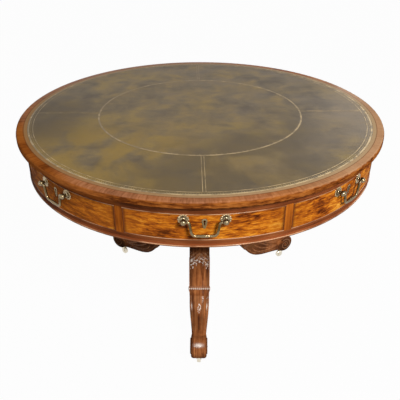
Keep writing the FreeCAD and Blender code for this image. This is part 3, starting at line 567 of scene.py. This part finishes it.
def old_brass():
    f = Finish("old_brass", Metallic=1.0)
    x, y, z = f.axes()
    reach = pivot_reach(x, y)
    patch = f.noise(f.place, 60.0, 4, 0.6)
    fine = f.noise(f.place, 420.0, 3, 0.6)
    base = f.mix(patch, colour(0.075, 0.050, 0.021), colour(0.215, 0.150, 0.066))
    ball = f.step(reach + patch * 0.010, *BALL_FACE) * f.step(z, *BALL_LEVEL)
    grip = 1 - f.step(z + patch * 0.004, *GRIP_LEVEL)
    base = f.mix(ball * 0.45 + grip * 0.34, base, colour(0.460, 0.360, 0.215))
    plate = 1 - f.step(reach, *PLATE_FACE)
    base = f.mix(plate * 0.45, base, colour(0.400, 0.290, 0.140))
    # painted highlight on the upper half of each post's disc
    disc_highlight = (1 - f.step(reach, *DISC_FACE)) * f.step(z, *DISC_HIGHLIGHT_LEVEL)
    base = f.mix(disc_highlight * 0.55, base, colour(0.620, 0.500, 0.320))
    base = f.mix(f.step(fine, 0.54, 0.68) * 0.6, base, colour(0.060, 0.048, 0.026))
    return f.finish(base, patch * 0.22 + 0.16, fine, 0.0002)


def bright_brass(name, dull, bright):
    """Brass that is polished pale by use."""
    f = Finish(name, Metallic=1.0)
    patch = f.noise(f.place, 90.0, 4, 0.6)
    base = f.mix(patch, dull, bright)
    return f.finish(base, patch * 0.15 + 0.26, patch, 0.0001)


castor_brass = bright_brass(
    "castor_brass", colour(0.620, 0.540, 0.400), colour(0.860, 0.810, 0.700))
rosette_brass = bright_brass(
    "rosette_brass", colour(0.260, 0.190, 0.100), colour(0.560, 0.430, 0.250))
print("bright brass", castor_brass.name, rosette_brass.name)

# %% Iron and oak
def black_iron():
    f = Finish("black_iron", Metallic=0.85)
    patch = f.noise(f.place, 35.0, 4, 0.6)
    rust = f.step(f.noise(f.place, 16.0, 5, 0.65), 0.56, 0.70)
    base = f.mix(patch, colour(0.035, 0.033, 0.031), colour(0.095, 0.090, 0.085))
    base = f.mix(rust * 0.6, base, colour(0.120, 0.045, 0.018))
    return f.finish(base, patch * 0.3 + 0.42, patch, 0.0006)


def drawer_oak():
    f = Finish("drawer_oak", Specular_IOR_Level=0.3)
    grain = f.noise(f.stretch((14, 14, 150)), 1.0, 5, 0.6, 0.6)
    patch = f.noise(f.place, 7.0, 3, 0.5)
    base = f.ramp(
        grain * 0.6 + patch * 0.4,
        (0.32, colour(0.150, 0.082, 0.036)),
        (0.50, colour(0.300, 0.185, 0.090)),
        (0.68, colour(0.420, 0.285, 0.150)),
    )
    base = f.mix(pores(f, f.stretch((22, 22, 300))) * 0.5, base, colour(0.110, 0.058, 0.024))
    return f.finish(base, patch * 0.2 + 0.52, grain, 0.0004)


iron, oak = black_iron(), drawer_oak()
print("hidden finishes", iron.name, oak.name)

# %% [markdown]
# ## Dressing the solids
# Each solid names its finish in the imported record, so most of them are dressed by looking that name up.
# The legs wait, because their fibre has to follow each leg's own direction.

# %% Dress the solids
finishes = {
    "mahogany": rail_mahogany(),
    "flame_mahogany": flame_mahogany(),
    "crossband": crossband_mahogany(),
    "cockbead": bead_mahogany(),
    "oak": oak,
    "brass": old_brass(),
    "iron": iron,
    "mahogany_dark": leg_mahogany("turned", 0.0, (90, 90, 6), 0.0),
}
special = {"stiles": stile_mahogany()}

for subpart in frame["record"]["subparts"]:
    name = subpart["node"]
    slot = subpart["material_slot"]
    if name.startswith("castor"):
        dress(nodes[name], castor_brass)
    elif slot in finishes:
        dress(nodes[name], special.get(name, finishes[slot]))

# %% [markdown]
# ## Shaping with nodes
# Anything that repeats is set out by Geometry Nodes: a group takes a mesh, puts a small shape on each of
# its points and paints the result. One class starts such a group, and turns it into a plain mesh at the end.

# %% Geometry node groups
class Shaping(Wiring):
    """A geometry node group with a mesh input and named numbers."""

    def __init__(self, name, **numbers):
        self.name = name
        self.numbers = numbers
        self.tree = bpy.data.node_groups.new(name, "GeometryNodeTree")
        sockets = self.tree.interface
        sockets.new_socket("Geometry", in_out="INPUT", socket_type="NodeSocketGeometry")
        for key in numbers:
            sockets.new_socket(key, in_out="INPUT", socket_type="NodeSocketFloat")
        sockets.new_socket("Geometry", in_out="OUTPUT", socket_type="NodeSocketGeometry")
        self.source = self.tree.nodes.new("NodeGroupInput")

    def given(self, name):
        return Flow(self.tree, self.source.outputs[name])

    def join(self, *shapes):
        joined = self.node("GeometryNodeJoinGeometry")
        for shape in shapes:
            self.tree.links.new(shape.socket, joined.socket.node.inputs[0])
        return joined

    def make(self, mesh, shape, material):
        """The group's result for a mesh, as an object without modifiers."""
        real = self.node("GeometryNodeRealizeInstances", sockets={"Geometry": shape})
        paint = {"Geometry": real, "Material": material}
        painted = self.node("GeometryNodeSetMaterial", sockets=paint)
        end = self.tree.nodes.new("NodeGroupOutput")
        self.tree.links.new(painted.socket, end.inputs["Geometry"])
        host = bpy.data.objects.new(self.name, mesh)
        bpy.context.scene.collection.objects.link(host)
        modifier = host.modifiers.new(self.name, "NODES")
        modifier.node_group = self.tree
        for item in self.tree.interface.items_tree:
            if item.in_out == "INPUT" and item.name in self.numbers:
                modifier[item.identifier] = self.numbers[item.name]
        result = host.evaluated_get(bpy.context.evaluated_depsgraph_get())
        host.data = bpy.data.meshes.new_from_object(result)
        host.modifiers.clear()
        return host


print("node groups start from", Shaping.__name__)

# %% [markdown]
# ## Gilt tooling
# A bookbinder's wheel rolls gold leaf into the damp leather: a band at the edge and a thin line inside it,
# with lozenges stamped between them, a ring in the middle with dots along it, and double lines that quarter
# the field between. The lines are thin raised strips, the stamps come from a node group, and the gold is
# worn through in patches.

# %% Worn gold
def worn_gilt():
    """Gold leaf, brightest at the edge and on the right, nearly gone on the left and at the back."""
    f = Finish("worn_gilt", Specular_IOR_Level=0.2)
    x, y, _ = f.axes()
    kept = f.step(x * 0.7 - y * 0.7, -0.45, 0.35)
    wear = f.step(f.noise(f.place, 34.0, 5, 0.7) - kept * 0.14, 0.28, 0.50)
    fine = f.noise(f.place, 240.0, 3, 0.6)
    base = f.mix(fine, colour(0.330, 0.225, 0.105), colour(0.520, 0.385, 0.205))
    edge = f.step(pivot_reach(x, y), 0.50, 0.52)
    base = f.mix(edge * 0.5, base, colour(0.680, 0.490, 0.250))
    base = f.mix(wear * 0.85, base, colour(0.185, 0.130, 0.064))
    return f.finish(base, fine * 0.2 + 0.34, metallic=0.3 - wear * 0.3)


gold = worn_gilt()
print("gold", gold.name)

# %% Tool lines
LEATHER_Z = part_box("leather_top")[1][2]
TOOL_PROUD = 0.00025
TOOL_SUNK = 0.0002
LINE_WIDTH = 0.0016
EDGE_BAND = (0.5612, 0.0052)
INNER_LINE = (0.5478, 0.0018)
CENTRE_BAND = (0.3390, 0.0056)
SPOKE_APART = 0.008
RING_STEPS = 240


def strip(points, across, width, closed):
    """Low bar along points: vertices and faces, with across as each point's sideways direction."""
    verts = []
    faces = []
    section = ((-0.5, -TOOL_SUNK), (-0.5, TOOL_PROUD), (0.5, TOOL_PROUD), (0.5, -TOOL_SUNK))
    for point, side in zip(points, across):
        for half, z in section:
            verts.append(point + side * (half * width) + Vector((0, 0, z)))
    count = len(points)
    for k in range(count if closed else count - 1):
        here = 4 * k
        there = 4 * ((k + 1) % count)
        for c in range(4):
            d = (c + 1) % 4
            faces.append((here + c, here + d, there + d, there + c))
    if not closed:
        last = 4 * (count - 1)
        faces += [(3, 2, 1, 0), (last, last + 1, last + 2, last + 3)]
    return verts, faces


def spoke(turn):
    """The level direction at an angle of turn."""
    return Vector((math.cos(turn), math.sin(turn), 0))


def tool_lines():
    """Three rings and four double spokes, in one mesh."""
    verts = []
    faces = []

    def add(part):
        faces.extend(tuple(len(verts) + i for i in face) for face in part[1])
        verts.extend(part[0])

    lift = Vector((0, 0, LEATHER_Z))
    outward = [spoke(2 * math.pi * k / RING_STEPS) for k in range(RING_STEPS)]
    for radius, width in (EDGE_BAND, INNER_LINE, CENTRE_BAND):
        add(strip([ray * radius + lift for ray in outward], outward, width, True))
    for quarter in range(4):
        ray = spoke(quarter * math.pi / 2)
        side = spoke((quarter + 1) * math.pi / 2)
        for offset in (-SPOKE_APART / 2, SPOKE_APART / 2):
            ends = [ray * reach + side * offset + lift for reach in (CENTRE_BAND[0], INNER_LINE[0])]
            add(strip(ends, [side, side], LINE_WIDTH, False))
    mesh = bpy.data.meshes.new("tool_lines")
    mesh.from_pydata(verts, [], faces)
    return mesh


line_mesh = tool_lines()
print("tool lines", len(line_mesh.polygons), "faces")

# %% Stamps between the lines
STAMP_TAPER = 0.55
LOZENGES = {"count": 520, "radius": 0.5545, "sides": 4, "size": 0.0019}
DOTS = {"count": 130, "radius": CENTRE_BAND[0] - 0.006, "sides": 8, "size": 0.0015}


def stamps(g, count, radius, sides, size):
    """A ring of low studs, each with a corner pointing outwards."""
    ring = g.node("GeometryNodeMeshCircle", sockets={"Vertices": count, "Radius": radius})
    place = g.node("GeometryNodeInputPosition")
    turn = g.node("FunctionNodeAlignRotationToVector", {"axis": "X"}, {"Vector": place})
    stud = g.node("GeometryNodeMeshCone", sockets={
        "Vertices": sides, "Radius Top": size * STAMP_TAPER, "Radius Bottom": size,
        "Depth": g.given("Depth")})
    placed = g.node("GeometryNodeInstanceOnPoints", sockets={
        "Points": ring, "Instance": stud, "Rotation": turn})
    lift = g.node("ShaderNodeCombineXYZ", sockets={2: g.given("Level")})
    return g.node("GeometryNodeTransform", sockets={"Geometry": placed, "Translation": lift})


tooling = Shaping("gilt_tooling", Depth=TOOL_PROUD + TOOL_SUNK, Level=LEATHER_Z - TOOL_SUNK)
lozenges = stamps(tooling, **LOZENGES)
dots = stamps(tooling, **DOTS)
gilt = tooling.make(line_mesh, tooling.join(tooling.given("Geometry"), lozenges, dots), gold)
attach(gilt, "drum")
print("gilt tooling", len(gilt.data.polygons), "faces")

# %% [markdown]
# ## Carved legs
# The carver worked on the top of each leg: an acanthus leaf over the knee, two raised tongues with beaded
# edges down the shin, a small husk between them, and flutes round the scroll. Each carving here is a skin
# over the solid. Rays find the leg's surface under a grid of points, and a height in millimetres lifts each
# point. Where nothing is carved the skin dips below the surface and the plain leg shows.

# %% Feet and helpers
MM = 0.001
UP = Vector((0, 0, 1))
LEGS = ("front", "right", "left")
Row = namedtuple("Row", "point outward half far")


def ease(low, high, value):
    """0 below low, 1 above high and a smooth slope between."""
    share = min(max((value - low) / (high - low), 0.0), 1.0)
    return share * share * (3 - 2 * share)


joints = {joint["name"]: joint for joint in frame["record"]["behaviour"]["joints"]}
feet = {name: Vector(joints["castor_%s_swivel" % name]["pos_m"]) for name in LEGS}
print("feet at", {name: [round(v, 3) for v in foot.xy] for name, foot in feet.items()})

# %% The leg under the carving
HIP_START = 0.104
HIP_STEPS = 160
SCROLL_LEVEL = 0.078
SCROLL_UNDER = -38
SCROLL_STEP = 2
ROW_STEP = 1.3 * MM
ROWS_ROUND = 6
RAY_BACK = 0.1
RAY_LIFT = 0.03
MISS_DEPTH = 0.045


class LegSurface:
    """The top line of one leg, in rows: a point, the way out, half the width and the distance so far."""

    def __init__(self, name):
        foot = feet[name]
        self.reach = foot.xy.length
        self.out = Vector((foot.x, foot.y, 0)) / self.reach
        self.turn = math.atan2(self.out.y, self.out.x)
        self.across = UP.cross(self.out)
        self.hub = self.out * self.reach + UP * SCROLL_LEVEL
        mesh = nodes["leg_" + name].data
        corners = [vertex.co for vertex in mesh.vertices]
        self.tree = BVHTree.FromPolygons(corners, [face.vertices for face in mesh.polygons])
        self.rows = self.find_rows(self.walk(self.trace()))

    def hit(self, start, direction):
        return self.tree.ray_cast(start, direction)[0]

    def trace(self):
        """Points down the leg's top, then round the scroll."""
        points = []
        for k in range(HIP_STEPS):
            reach = HIP_START + (self.reach - HIP_START) * k / HIP_STEPS
            points.append(self.hit(self.out * reach + UP, -UP))
        for degrees in range(90, SCROLL_UNDER, -SCROLL_STEP):
            turn = math.radians(degrees)
            ray = self.out * math.cos(turn) + UP * math.sin(turn)
            points.append(self.hit(self.hub + ray * RAY_BACK, -ray))
        return points

    def walk(self, points):
        """The same line in even steps."""
        even = [points[0]]
        for point in points[1:]:
            while (point - even[-1]).length >= ROW_STEP:
                even.append(even[-1] + (point - even[-1]).normalized() * ROW_STEP)
        return even

    def find_rows(self, line):
        """The width is taken below the rounded edge: 10 mm down on the shank and 3 mm on the scroll."""
        rows = []
        last = len(line) - 1
        for k, point in enumerate(line):
            ahead, behind = line[min(k + ROWS_ROUND, last)], line[max(k - ROWS_ROUND, 0)]
            outward = (ahead - behind).normalized().cross(self.across)
            deep = 10 * MM - 7 * MM * ease(0.365, 0.40, point.dot(self.out))
            side = self.hit(point - outward * deep + self.across * RAY_BACK, -self.across)
            rows.append(Row(point, outward, side.dot(self.across), k * ROW_STEP))
        return rows

    def row_at(self, reach):
        """The first row that gets to a reach."""
        return next(row for row in self.rows if row.point.dot(self.out) >= reach)

    def surface(self, row, share):
        """The point on the leg at a share of a row's half width."""
        start = row.point + self.across * (row.half * share) + row.outward * RAY_LIFT
        return self.hit(start, -row.outward) or start - row.outward * MISS_DEPTH


legs = {name: LegSurface(name) for name in LEGS}
print("rows on a leg", [len(leg.rows) for leg in legs.values()])

# %% [markdown]
# The heights are sums of simple waves. A lobe is the top half of a sine, so neighbours meet in a sharp
# crease as two gouge cuts do, and slanting the phase away from the middle makes the lobes of a leaf. Each
# function takes a share of the carving's length and a place from side to side, from -1 to 1. It gives how
# far the carving covers the wood there, its height in millimetres and the strength of a painted highlight
# on its crests.

# %% Carving heights
LEAF_LOBES = 12


def leaf(share, side):
    """Acanthus leaf over the knee."""
    off = abs(side)
    lower_edge = 0.82 + 0.17 * off ** 1.5 + 0.04 * math.cos(6 * math.pi * off)
    cover = ease(0, 0.025, lower_edge - share) * ease(0, 0.05, share) * ease(0, 0.06, 0.95 - off)
    lobe = abs(math.sin(math.pi * (LEAF_LOBES * share - 2.2 * off))) ** 0.6
    notch = abs(math.sin(math.pi * (2.5 * off + 0.5 * LEAF_LOBES * share))) ** 0.5
    rib = math.exp(-(side / 0.07) ** 2)
    crest = lobe * (0.35 + 0.65 * notch)
    spotted = ease(-0.04, 0.22, noise.noise((side * 6.1 + 7.0, share * 52.0, 0.5)))
    # pale is a painted highlight on the lobes' crests
    pale = ease(0.22, 0.50, crest) * ease(0.68, 0.74, share) * spotted * (0.85 - 0.35 * side)
    return cover, 0.2 + 2.6 * crest + 1.0 * rib, pale


def shin(share, side):
    """Two raised tongues, beaded edges and a husk at the head of the channel."""
    off = abs(side)
    tongue = math.sin(math.pi * (off - 0.06) / 0.70) if 0.06 < off < 0.76 else 0.0
    tongue = max(tongue, ease(0, 0.2, 0.7 - off) * (1 - ease(0.15, 0.60, share)))
    bead = max(0.0, 1 - ((off - 0.86) / 0.075) ** 2) ** 0.5
    ends = ease(0, 0.06, share) * ease(0, 0.12, 1 - share)
    husk_share = (share - 0.36) / 0.13
    petal = 0.30 * (1 - abs(husk_share)) ** 0.6 if abs(husk_share) < 1 else 0.0
    ribs = 0.5 + 0.5 * math.cos(side * 42)
    husk = ease(0, 0.07, petal - off) * (0.6 + 0.4 * ribs)
    spotted = ease(0.0, 0.3, noise.noise((side * 14.0, share * 38.0, 3.5)))
    cover = max(ends * ease(0, 0.05, 0.95 - off), husk)
    # pale is a painted highlight on the beads and on the husk
    pale = max(0.8 * bead * math.exp(-((share - 0.30) / 0.06) ** 2), 0.8 * spotted * (husk > 0.4))
    return cover, 0.55 + max(1.3 * tongue * ends, 1.5 * bead * ends, 1.5 * husk), pale


def flutes(share, side):
    """Flutes that run round the scroll."""
    off = abs(side)
    cover = ease(0, 0.10, share) * ease(0, 0.08, 1 - share) * ease(0, 0.06, 0.93 - off)
    crest = abs(math.cos(math.pi * side * 3.5)) ** 0.7
    shine = math.exp(-((share - 0.44) / 0.055) ** 2 - (side / 0.55) ** 2)
    return cover, 0.2 + 1.1 * crest, shine * (0.45 + 0.55 * crest)


tallest = max(leaf(k / 100, 0.0)[1] for k in range(101))
print("leaf of", LEAF_LOBES, "lobes, up to", round(tallest, 2), "mm high")

# %% [markdown]
# A leg has three bands of carving, each between two distances from the pivot. The skin over them is closed:
# a carved grid above, a plain grid below and a wall round the border. On the way each point is given its
# shares of dark hollows and shadow, of rubbing and of painted highlight. High on the knee, in the table's
# shadow, a painted shadow darkens the whole carving.

# %% Skins over the legs
COLUMNS = 64
SKIN_T = 3 * MM
SUNK = 1.0
SKIN_SHARE = 0.985
KNEE_SHADOW_END = (0.166, 0.178)
BANDS = ((leaf, 0.108, 0.208), (shin, 0.256, 0.385), (flutes, 0.392, None))


def carving(leg, far):
    """The height function at a distance down a leg, and the share of its band that lies above."""
    for shape, start, end in BANDS:
        first = leg.row_at(start).far
        last = leg.row_at(end).far if end else leg.rows[-1].far
        if first <= far <= last:
            return shape, (far - first) / (last - first)
    return None, 0.0


def skin_faces(rows, width):
    """Faces of the two grids, and of the wall that joins their borders."""
    count = rows * width
    faces = []
    for r in range(rows - 1):
        for c in range(width - 1):
            a, b = r * width + c, r * width + c + 1
            d, e = a + width, b + width
            faces.append((a, d, e, b))
            faces.append((count + a, count + b, count + e, count + d))
    rim = list(range(width)) + [r * width + width - 1 for r in range(1, rows)]
    rim += [(rows - 1) * width + c for c in range(width - 2, -1, -1)]
    rim += [r * width for r in range(rows - 2, 0, -1)]
    return faces + [(a, b, count + b, count + a) for a, b in zip(rim, rim[1:] + rim[:1])]


def skin_mesh(name, leg):
    tops = []
    unders = []
    wear_and_painted_light = {"hollow": [], "rubbed": [], "pale": []}
    for row in leg.rows:
        shape, share = carving(leg, row.far)
        # painted shadow of the table over the knee, which darkens the whole carving there
        knee_shadow = 0.75 * (1 - ease(*KNEE_SHADOW_END, row.point.dot(leg.out)))
        for column in range(COLUMNS + 1):
            side = 2 * column / COLUMNS - 1
            cover, height, pale = shape(share, side) if shape else (0.0, 0.0, 0.0)
            border = column in (0, COLUMNS) or row is leg.rows[0] or row is leg.rows[-1]
            lift = -SUNK if border else cover * (height + SUNK) - SUNK
            place = leg.surface(row, side * SKIN_SHARE)
            tops.append(place + row.outward * (lift * MM))
            unders.append(place - row.outward * SKIN_T)
            wear_and_painted_light["hollow"].append(cover * max(ease(0.2, 0.9, 1.1 - height), knee_shadow))
            wear_and_painted_light["rubbed"].append(cover * ease(1.2, 2.6, height) * (knee_shadow < 0.3))
            wear_and_painted_light["pale"].append(cover * pale)
    mesh = bpy.data.meshes.new(name)
    mesh.from_pydata(tops + unders, [], skin_faces(len(leg.rows), COLUMNS + 1))
    for key, values in wear_and_painted_light.items():
        attribute = mesh.attributes.new(key, "FLOAT", "POINT")
        attribute.data.foreach_set("value", values + [0.0] * len(unders))
    mesh.polygons.foreach_set("use_smooth", [True] * len(mesh.polygons))
    return mesh


for name, leg in legs.items():
    wood = leg_mahogany(name, leg.turn)
    dress(nodes["leg_" + name], wood)
    skin = bpy.data.objects.new("carving_" + name, skin_mesh("carving_" + name, leg))
    skin.data.materials.append(wood)
    bpy.context.scene.collection.objects.link(skin)
    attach(skin, "pedestal")
    print(skin.name, len(skin.data.polygons), "faces")

# %% [markdown]
# The sides are carved too: a bead follows each edge of the leg, and a leaf of three ribs grows out of the
# volute up the shin. Each is a line of points laid on the side by rays, with a girth on every point, and a
# node group sweeps a round section along it.

# %% Lines on the sides of the legs
EDGE_IN = 9 * MM
EDGE_GIRTH = 1.6 * MM
EDGE_ROWS = range(106, 306, 5)
RIB_GIRTH = 4.2 * MM
RIB_ROWS = range(214, 308, 4)
RIB_SHARES = (0.26, 0.5, 0.74)
RIB_SPREAD = 1.1
LINE_SUNK = 0.35
UNDER_RAY = 0.12
UNDER_MISS = 0.05


def edge_line(leg, under, lower):
    """Places and girths of the bead along the upper or the lower edge."""
    line = []
    for k in EDGE_ROWS:
        top = leg.rows[k].point
        inward = (under[k] - top).normalized() * EDGE_IN
        line.append((under[k] - inward if lower else top + inward, EDGE_GIRTH))
    return line


def rib_line(leg, under, share):
    """Places and girths of a rib that lies at a share of the leg's depth."""
    line = []
    last = len(RIB_ROWS) - 1
    for n, k in enumerate(RIB_ROWS):
        grown = n / last
        bent = 0.5 + (share - 0.5) * math.sin(math.pi * (0.25 + 0.75 * grown)) * RIB_SPREAD
        girth = RIB_GIRTH * (0.25 + 0.75 * math.sin(math.pi * (0.1 + 0.8 * grown)))
        line.append((leg.rows[k].point.lerp(under[k], bent), girth))
    return line


def side_lines():
    """All lines of the three legs as one mesh of edges."""
    verts = []
    edges = []
    girths = []

    def lay(leg, side, line):
        start = len(verts)
        for place, girth in line:
            found = leg.hit(place + leg.across * (side * RAY_BACK), leg.across * -side)
            if found:
                verts.append(found - leg.across * (side * girth * LINE_SUNK))
                girths.append(girth)
        edges.extend((k, k + 1) for k in range(start, len(verts) - 1))

    for leg in legs.values():
        under = {}
        for k in set(EDGE_ROWS) | set(RIB_ROWS):
            point, outward = leg.rows[k].point, leg.rows[k].outward
            under[k] = leg.hit(point - outward * UNDER_RAY, outward) or point - outward * UNDER_MISS
        for side in (1, -1):
            for lower in (False, True):
                lay(leg, side, edge_line(leg, under, lower))
            for share in RIB_SHARES:
                lay(leg, side, rib_line(leg, under, share))
    mesh = bpy.data.meshes.new("side_lines")
    mesh.from_pydata(verts, edges, [])
    mesh.attributes.new("girth", "FLOAT", "POINT").data.foreach_set("value", girths)
    return mesh


side_mesh = side_lines()
print("side lines", len(side_mesh.edges), "edges")

# %% Sweep the lines
edging = Shaping("leg_edging", Rubbed=0.5)
girth = edging.node("GeometryNodeInputNamedAttribute", {"data_type": "FLOAT"}, {"Name": "girth"})
line = edging.node("GeometryNodeMeshToCurve", sockets={"Mesh": edging.given("Geometry")})
profile = edging.node("GeometryNodeCurvePrimitiveCircle", sockets={"Resolution": 12, "Radius": 1.0})
swept = edging.node("GeometryNodeCurveToMesh", sockets={
    "Curve": line, "Profile Curve": profile, "Scale": girth, "Fill Caps": True})
rounded = edging.node("GeometryNodeSetShadeSmooth", sockets={"Geometry": swept})
polished = edging.node("GeometryNodeStoreNamedAttribute", sockets={
    "Geometry": rounded, "Name": "rubbed", "Value": edging.given("Rubbed")})
leg_edging = edging.make(side_mesh, polished, finishes["mahogany_dark"])
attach(leg_edging, "pedestal")
print("leg edging", len(leg_edging.data.polygons), "faces")

# %% [markdown]
# Small round things come from one builder: a bare mesh holds a point for each lump, with its size and its
# angles as attributes, and a node group sets a stretched ball on every point.

# %% Lumps
def add_lumps(name, body, material, lumps, pale=0.0):
    """One object from (place, three radii, three angles) for each lump."""
    places, radii, angles = zip(*lumps)
    points = bpy.data.meshes.new(name)
    points.from_pydata(places, [], [])
    for key, values in (("radii", radii), ("angles", angles)):
        flat = [number for value in values for number in value]
        points.attributes.new(key, "FLOAT_VECTOR", "POINT").data.foreach_set("vector", flat)
    g = Shaping(name, Pale=pale)
    kept = {"data_type": "FLOAT_VECTOR"}
    size = g.node("GeometryNodeInputNamedAttribute", kept, {"Name": "radii"})
    turn = g.node("GeometryNodeInputNamedAttribute", kept, {"Name": "angles"})
    turned = g.node("FunctionNodeEulerToRotation", sockets={0: turn})
    ball = g.node("GeometryNodeMeshIcoSphere", sockets={"Radius": 1.0, "Subdivisions": 3})
    smooth = g.node("GeometryNodeSetShadeSmooth", sockets={"Geometry": ball})
    # the pale share stored on each lump is a painted highlight
    highlighted = g.node("GeometryNodeStoreNamedAttribute", sockets={
        "Geometry": smooth, "Name": "pale", "Value": g.given("Pale")})
    balls = g.node("GeometryNodeInstanceOnPoints", sockets={
        "Points": g.given("Geometry"), "Instance": highlighted, "Rotation": turned, "Scale": size})
    made = g.make(points, balls, material)
    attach(made, body)
    print(name, len(lumps), "lumps on", body)


# %% [markdown]
# Pearls edge each collar, a larger one sits in the eye of each volute, and a swelling on each side of the
# ankle leads the narrow shin out to the broad scroll.

# %% Pearls and ankles
PEARLS = 11
PEARL = (3.4 * MM,) * 3
PEARL_SHARE = 0.93
# strength of the painted highlight on the pearls
PEARL_HIGHLIGHT = 0.55
EYE = (5.5 * MM,) * 3
EYE_SUNK = 4.5 * MM
VOLUTE_FACE = 0.029
CHEEK = (33 * MM, 8.5 * MM, 17 * MM)
CHEEK_PLACE = (-31 * MM, 18 * MM, 14 * MM)
CHEEK_SPLAY = 0.12
LEVEL = (0.0, 0.0, 0.0)

pearls = []
swellings = []
for leg in legs.values():
    row = leg.row_at(COLLAR_REACH)
    for k in range(PEARLS):
        side = 2 * k / (PEARLS - 1) - 1
        pearls.append((leg.surface(row, side * PEARL_SHARE), PEARL, LEVEL))
    along, aside, above = CHEEK_PLACE
    for side in (1, -1):
        swellings.append((leg.hub + leg.across * (side * (VOLUTE_FACE - EYE_SUNK)), EYE, LEVEL))
        cheek = leg.hub + leg.out * along + leg.across * (side * aside) + UP * above
        swellings.append((cheek, CHEEK, (0.0, 0.0, leg.turn + side * CHEEK_SPLAY)))
add_lumps("collar_pearls", "pedestal", finishes["mahogany_dark"], pearls, PEARL_HIGHLIGHT)
add_lumps("ankles", "pedestal", finishes["mahogany_dark"], swellings)

# %% [markdown]
# ## Rosettes
# Each handle post stands on a cast rosette. The solid has its plain disc, and a ring of petals goes round
# it here. A drawer has rosettes of its own, so that it takes them along.

# %% Petals round the handle posts
PETALS = 12
PETAL_RING = 11.5 * MM
PETAL = (1.7 * MM, 4.0 * MM, 3.4 * MM)
PETAL_SEAT = 0.8 * MM
POST_APART = 107 * MM
POST_Z = sum(corner[2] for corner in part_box("handle_posts_front")) / 2
DRAWER_TURNS = {"front": -90, "right": 0, "back": 90, "left": 180}
DUMMY_STEP = 45


def rosettes(degrees):
    """Petals of the two posts of a front that faces an angle."""
    turn = math.radians(degrees)
    out = spoke(turn)
    across = UP.cross(out)
    deep = math.sqrt(FRONT_R ** 2 - (POST_APART / 2) ** 2)
    petals = []
    for side in (-1, 1):
        post = out * deep + across * (side * POST_APART / 2) + UP * POST_Z
        slope = -side * POST_APART / 2 / deep
        for k in range(PETALS):
            angle = 2 * math.pi * k / PETALS
            sideways = math.cos(angle) * PETAL_RING
            place = post + across * sideways + UP * (math.sin(angle) * PETAL_RING)
            petals.append((place + out * (PETAL_SEAT + slope * sideways), PETAL, (angle, 0.0, turn)))
    return petals


on_drum = []
for name, degrees in DRAWER_TURNS.items():
    add_lumps("rosettes_" + name, "drawer_" + name, rosette_brass, rosettes(degrees))
    on_drum += rosettes(degrees + DUMMY_STEP)
add_lumps("rosettes_dummy", "drum", rosette_brass, on_drum)

# %% [markdown]
# ## Floor, light and backdrop
# The table stands in a white studio. The floor is pale and nearly white to the camera but still takes a
# soft shadow, so its shader mixes a glow for rays from the camera with plain paint for all others. The
# world does the same, and adds only a little light of its own.

# %% Floor
FLOOR_HALF = 12.0
FLOOR_Z = -0.0005
FLOOR_GLOW = 0.975


def seen_directly(tree):
    """1 for rays from the camera, or through glass or a reflection."""
    path = tree.nodes.new("ShaderNodeLightPath")
    rays = [Flow(tree, path.outputs[name]) for name in
            ("Is Camera Ray", "Is Glossy Ray", "Is Transmission Ray")]
    return rays[0].math("MAXIMUM", rays[1]).math("MAXIMUM", rays[2])


def white_floor():
    f = Finish("white_floor", Roughness=0.9, Specular_IOR_Level=0.0)
    f.shader.inputs["Base Color"].default_value = colour(0.40, 0.40, 0.40)
    glow = f.node("ShaderNodeEmission", sockets={"Color": colour(1, 1, 1), "Strength": 1.0})
    lit = Flow(f.tree, f.shader.outputs[0])
    both = f.node("ShaderNodeMixShader", sockets={
        0: seen_directly(f.tree) * FLOOR_GLOW, 1: lit, 2: glow})
    f.tree.links.new(both.socket, f.tree.nodes["Material Output"].inputs["Surface"])
    return f.material


corners = [(a * FLOOR_HALF, b * FLOOR_HALF, FLOOR_Z) for a, b in ((-1, -1), (1, -1), (1, 1), (-1, 1))]
floor_mesh = bpy.data.meshes.new("floor")
floor_mesh.from_pydata(corners, [], [(0, 1, 2, 3)])
floor_mesh.materials.append(white_floor())
floor = bpy.data.objects.new("floor", floor_mesh)
bpy.context.scene.collection.objects.link(floor)
print("floor", 2 * FLOOR_HALF, "metres square")

# %% World
WORLD_FILL = 0.18

world = bpy.data.worlds.new("studio")
world.use_nodes = True
sky = world.node_tree.nodes["Background"]
sky.inputs["Color"].default_value = colour(1, 1, 1)
seen = seen_directly(world.node_tree)
plug(world.node_tree, seen * (1 - WORLD_FILL) + WORLD_FILL, sky.inputs["Strength"])
bpy.context.scene.world = world
print("world fill", WORLD_FILL)

# %% [markdown]
# Three soft boxes light the table. The strong one, high to the right of the camera, models the fronts. A
# weak one low on the left keeps the shaded side open, and a large one behind on the right lays the grey
# sheen on the leather.

# %% Lamps
def softbox(name, place, aim, size, power):
    lamp = bpy.data.lights.new(name, "AREA")
    lamp.size = size
    lamp.energy = power
    box = bpy.data.objects.new(name, lamp)
    box.location = place
    box.rotation_euler = (Vector(aim) - Vector(place)).to_track_quat("-Z", "Y").to_euler()
    bpy.context.scene.collection.objects.link(box)


softbox("front_right", place=(1.5, -3.1, 3.15), aim=(0, 0, 0.5), size=0.9, power=165)
softbox("front_left", place=(-1.8, -2.8, 1.6), aim=(0, 0, 0.45), size=1.4, power=4)
softbox("back_right", place=(1.7, 2.0, 2.2), aim=(0.2, 0, 0.7), size=1.6, power=14)
bpy.context.scene.view_settings.view_transform = "Standard"
print("lamps", [light.name for light in bpy.data.lights])
